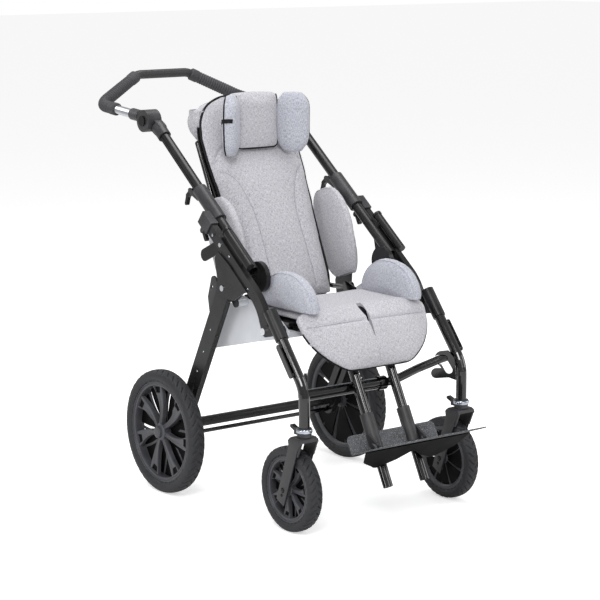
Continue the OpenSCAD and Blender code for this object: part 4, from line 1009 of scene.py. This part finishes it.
def wheel(name, centre, side, r, h, w, hub_r, hub_x, start, count):
    """Tyre, stepped rim ring, spokes with pockets floored by black painted shade, webs behind the spokes that stand
    for the wheel's inner side in black painted shade, and hub of one wheel. side is its outer face's sign, r the radius
    over the tyre, h and w the tyre's height and width, start the first spoke's angle, and count the grooves."""
    k = r / 150   # size against a rear wheel
    ri = r - h
    xo = 0.36 * w + 0.6
    ring_mesh = lathe([
        (xo - 1.2, ri + 0.6), (xo, ri - 0.6), (xo + 0.4, ri - 3.2), (xo - 1.8, ri - 4.2), (xo - 1.8, ri - 7.2),
        (xo - 0.6, ri - 8.2), (xo - 1.0, ri - 10.4), (xo - 5, ri - 12.2), (0, ri - 10.5), (-xo + 3, ri - 11.5),
        (-xo, ri - 8), (-xo, ri)], 120, closed=True)

    def width(q):
        return (11 + 4 * q + 25 * q ** 2.2) * k

    def face(q):
        return hub_x * 0.55 * (1 - q) ** 2 + (xo - 3.4) * (1 - (1 - q) ** 2) - 3.2 * math.sin(math.pi * q)

    def back(q):
        return face(q) - 9 - 4 * (1 - q)

    # each spoke ends in a tapered pocket floored by a black sheet of painted shade
    z0, z1 = ri - 12 - 17 * k, ri - 13.5

    def pocket(x0, x1, half0, half1, ease):
        ends = ((-half0, z0 - ease), (half0, z0 - ease), (half1, z1 + ease), (-half1, z1 + ease))
        return hexahedron([Vector((x, u + 0.6, z)) * MM for x in (x0, x1) for u, z in ends])

    spoke = spoke_mesh(hub_r * 0.7, ri - 9.5, width, face, back, 8.0 * k)
    spoke = cut_out(spoke, pocket(xo - 12, xo + 6, 8.5 * k, 12.5 * k, 0.0))
    pocket_shade_floor = pocket(xo - 11.5, xo - 8, 8.7 * k, 12.7 * k, 0.3)
    # the webs are black painted shade behind the spokes, standing for the wheel's inner side
    web = spoke_mesh(hub_r * 0.7, ri - 8.0, lambda q: (13 + 76 * q ** 1.1) * k, lambda q: -xo + 9 + 2 * (1 - q),
                     lambda q: -xo + 4.5, -5 * k)
    rib = spoke_mesh(hub_r * 0.7, ri - 9.0, lambda q: 5.0 * k + 1.5 * q,
                     lambda q: xo - 3.5 - 2.5 * math.sin(math.pi * q), lambda q: xo - 9, 6 * k)
    hub = lathe([
        (-hub_x * 0.8, hub_r * 0.55), (-hub_x * 0.75, hub_r * 0.8), (-4, hub_r), (hub_x * 0.55, hub_r * 0.98),
        (hub_x * 0.66, hub_r * 0.86), (hub_x * 0.7, hub_r * 0.7), (hub_x * 0.93, hub_r * 0.66),
        (hub_x * 0.99, hub_r * 0.56), (hub_x, hub_r * 0.4), (hub_x, 0)], 48)

    def part(end, mesh, look, **kw):
        turn = Matrix.Identity(4) if side > 0 else HALF_TURN
        piece(name + end, moved(mesh, centre, turn), look, name, **kw)

    inner_ribs = moved(spun(rib, 2 * SPOKES, start), Vector(), HALF_TURN)
    pocket_web_shade = merged(spun(pocket_shade_floor, SPOKES, start), spun(web, SPOKES, start + 9))
    part("_tyre_tread", tyre_mesh(r, h, w, count), "tyre_grey", sharp=50, replaces=(TYRES[name],))
    part("_rim_ring", ring_mesh, "wheel_plastic", sharp=40, replaces=(RIMS[name],))
    part("_spokes", spun(spoke, SPOKES, start), "wheel_plastic", sharp=40)
    part("_inner_ribs", inner_ribs, "wheel_plastic", sharp=40)
    part("_pocket_and_web_shade", pocket_web_shade, "painted_shade_black", sharp=40)
    part("_hub_cap", hub, "wheel_plastic", sharp=40)


for sd, nm in SIDES:
    wheel("rear_wheel_" + nm, P(sd * 276.5, 225.5, 150), sd,
          r=150, h=27, w=40, hub_r=21, hub_x=24.4, start=8, count=42)
    wheel("front_wheel_" + nm, P(sd * 231.5, -225.5, 98), sd,
          r=98, h=21, w=36, hub_r=15, hub_x=17.5, start=20, count=34)

# ---------------- handle and push tubes
GRIP_DIR = Vector((-139, 45, 67.5)).normalized()
HANDLE_DIR = Vector((0, 186.73, 15.95)).normalized()
HANDLE_UP = Vector((0, -0.42, 0.9)).normalized()
BEND = P(215, 592, 909.5)
GRIP_START = P(215, 405.27, 893.55) + HANDLE_DIR * 0.1097
GRIP_STEP = 1.1   # millimetres from ring to ring of a grip
grip_path = resampled(rounded_path([GRIP_START, BEND, BEND + GRIP_DIR * 0.152], 40, 14), GRIP_STEP)
GRIP_LEN = GRIP_STEP * (len(grip_path) - 1)


def grip_radius(i):
    """Plain collars at both ends and ribs every 6.6 mm between them."""
    s = GRIP_STEP * i
    if s < 24 or s > GRIP_LEN - 20:
        end = min(s, GRIP_LEN - s)
        return 15.9 - 2.2 * smooth(2.5, 0, end)
    swell = 15.0 + 0.6 * math.sin(math.pi * (s - 24) / (GRIP_LEN - 44))
    ribs = smooth(24, 32, s) * smooth(GRIP_LEN - 20, GRIP_LEN - 28, s)
    return swell - 1.7 * ribs * (0.5 + 0.5 * math.cos(2 * math.pi * s / 6.6)) ** 2


grip = sweep(grip_path, lambda i: ring(grip_radius(i), 28), up=HANDLE_UP)
both("handle_grip_cover", grip, "grip_foam", "handle", sharp=60, replaces=("handle_grips",))
far_bend, far_dir = Vector((-BEND.x, BEND.y, BEND.z)), Vector((-GRIP_DIR.x, GRIP_DIR.y, GRIP_DIR.z))
bar_path = rounded_path([BEND + GRIP_DIR * 0.1535, P(76, 637, 977), P(-76, 637, 977), far_bend + far_dir * 0.1535],
                        40, 14)
cross_bar = tube(resampled(bar_path, 3), 11.35, 28, up=HANDLE_UP)
piece("handle_cross_bar", cross_bar, "grey_plastic", "handle", sharp=60)
# painted shade of the grooves along the push tubes, as thin black cords on them
grooves = [tube([P(203.5 + 12.05, *push_at(q, off)) for q in (222, 320, 425)], 0.75, 6, up=X) for off in (-3.2, 3.2)]
both("push_tube_groove_shade", merged(*grooves), "painted_shade_black", "push_frame", sharp=60)

# ---------------- casters, rivets and screws
# a bright band round the collar, straps and bolt heads on the fork, with black painted shade in the holes round the
# heads
band = lathe([(-4, 16.0), (-4, 17.9), (-3, 18.5), (3, 18.5), (4, 17.9), (4, 16.0)], 48, closed=True)
both("caster_band", moved(band, P(231.5, -273.9, 241.5), Matrix.Rotation(math.pi / 2, 4, "Y")), "zinc", "frame")
BLADE_UP = unit2((-263.9 + 225.5, 208 - 98))
BLADE = [(-293.9, 218), (-290.9, 224.7), (-253.9, 224.7), (-244.9, 218), (-247.9, 206), (-201.4, 74.6),
         (-228.5, 61.0), (-279.9, 198)]
blades = merged(plate(BLADE, 254.9, 256.6, 0.5), plate(BLADE, 206.4, 208.1, 0.5))
both("fork_straps", blades, "grey_plastic", "caster_left", "caster_right")
bolt_hole_shades, bolts = [], []
for x, out in ((256.5, 1), (206.5, -1)):
    for dist, rad in ((0, 6.2), (-13, 3.6)):
        c = P(x, -225.5 + BLADE_UP[0] * dist, 98 + BLADE_UP[1] * dist)
        bolt_hole_shades.append(moved(lathe([(0, rad), (out * 0.4, rad), (out * 0.6, rad - 0.6), (out * 0.6, 0)], 28), c))
        bolts.append(dome_head(c + Vector((out * 0.4, 0, 0)) * MM, rad - 1.6, 1.2, out))
both("fork_bolt_hole_shade", merged(*bolt_hole_shades), "painted_shade_black", "caster_left", "caster_right")
both("fork_bolts", merged(*bolts), "black_plastic", "caster_left", "caster_right")

side_screws = [dome_head(P(x, *at), r, 1.1) for at, x, r in (
    (side_at(150, 4), 236.2, 2.6), (side_at(52, -3), 236.2, 2.2),
    (side_at(225, 0), 239.9, 3.2), (side_at(-38, 2), 236.2, 2.4))]
both("side_tube_screws", merged(*side_screws), "zinc", "frame")
REAR_AXLE, FOLD_PIN = (225.5, 150), (28.9, 521.8)
leg_dir = unit2((FOLD_PIN[0] - REAR_AXLE[0], FOLD_PIN[1] - REAR_AXLE[1]))
rear_screws = [dome_head(P(235.9, *along(REAR_AXLE, leg_dir, (0, 0), q)), r, 1.0)
               for q, r in ((176, 3.0), (235, 2.2), (300, 2.2))]
both("rear_leg_screws", merged(*rear_screws), "zinc", "rear_frame")

# ---------------- camera, light and floor
cam_data = bpy.data.cameras.new("camera")
cam_data.lens, cam_data.sensor_width = 119.17, 36.0
cam_data.clip_end = 50
cam = linked("camera", cam_data)
# to the right, up and back of the camera that was fitted to the four wheels
CAM_R = (0.79932931, -0.60088388, -0.00334984)
CAM_U = (0.10852011, 0.13887192, 0.98434647)
CAM_B = (-0.59101273, -0.78718051, 0.17621238)
cam.matrix_world = Matrix([(r, u, b, 0) for r, u, b in zip(CAM_R, CAM_U, CAM_B)] + [(0, 0, 0, 1)])
cam.location = P(-2812.9, -3697.6, 1303.8)
SCENE.camera = cam

# white where the camera sees the world, and half of that as light
world = bpy.data.worlds.new("studio")
SCENE.world = world
world.use_nodes = True
world_tree = world.node_tree
world_tree.nodes.clear()
wn = {k: world_tree.nodes.new("ShaderNode" + k) for k in ("OutputWorld", "Background", "LightPath", "Mix", "Math")}
wn["Math"].operation = "MAXIMUM"
wn["Mix"].data_type = "FLOAT"
wn["Mix"].inputs[2].default_value, wn["Mix"].inputs[3].default_value = 0.5, 1.0
wn["Background"].inputs["Color"].default_value = (1, 1, 1, 1)
for start, end in (
        (wn["LightPath"].outputs["Is Camera Ray"], wn["Math"].inputs[0]),
        (wn["LightPath"].outputs["Is Transmission Ray"], wn["Math"].inputs[1]),
        (wn["Math"].outputs[0], wn["Mix"].inputs[0]),
        (wn["Mix"].outputs[0], wn["Background"].inputs["Strength"]),
        (wn["Background"].outputs[0], wn["OutputWorld"].inputs[0])):
    world_tree.links.new(start, end)


def lamp(name, at, to, size, power, size_y=None):
    d = bpy.data.lights.new(name, "AREA")
    d.shape = "RECTANGLE"
    d.size, d.size_y, d.energy = size, size_y or size, power
    o = linked(name, d)
    o.location = at
    o.rotation_euler = (Vector(to) - Vector(at)).to_track_quat("-Z", "Y").to_euler()


lamp("key", (-2.4, -2.8, 3.1), (0, 0, 0.5), 1.5, 84)
lamp("fill", (3.0, -2.0, 1.7), (0, 0, 0.5), 1.0, 24, size_y=2.4)
lamp("top", (0.2, 0.4, 3.2), (0, 0, 0.4), 1.6, 46)
lamp("rear", (-1.2, 3.2, 2.2), (0, 0, 0.5), 1.6, 18)
lamp("strip_left", (-3.0, -0.4, 1.3), (0, 0, 0.5), 0.25, 22, size_y=2.4)
lamp("strip_front", (-0.2, -3.4, 1.6), (0, 0, 0.5), 0.25, 18, size_y=2.0)

floor_mesh = bpy.data.meshes.new("floor")
floor_mesh.from_pydata([(-30, -30, 0), (30, -30, 0), (30, 30, 0), (-30, 30, 0)], [], [(0, 1, 2, 3)])
floor = linked("floor", floor_mesh)
ft = Tree("floor_white")
f_emit = ft.node("Emission", {"Color": (1, 1, 1, 1)})
f_path = ft.node("LightPath")
ft.put(f_emit.inputs["Strength"], ft.math("MULTIPLY", f_path.outputs["Is Camera Ray"], 0.5))
f_add = ft.node("AddShader")
ft.set(Base_Color=(0.86, 0.86, 0.86, 1), Roughness=0.9, Specular_IOR_Level=0.0)
ft.put(f_add.inputs[0], ft.bsdf.outputs[0])
ft.put(f_add.inputs[1], f_emit.outputs[0])
ft.put(ft.out.inputs[0], f_add.outputs[0])
floor_mesh.materials.append(ft.mat)

SCENE.view_settings.view_transform = "Standard"
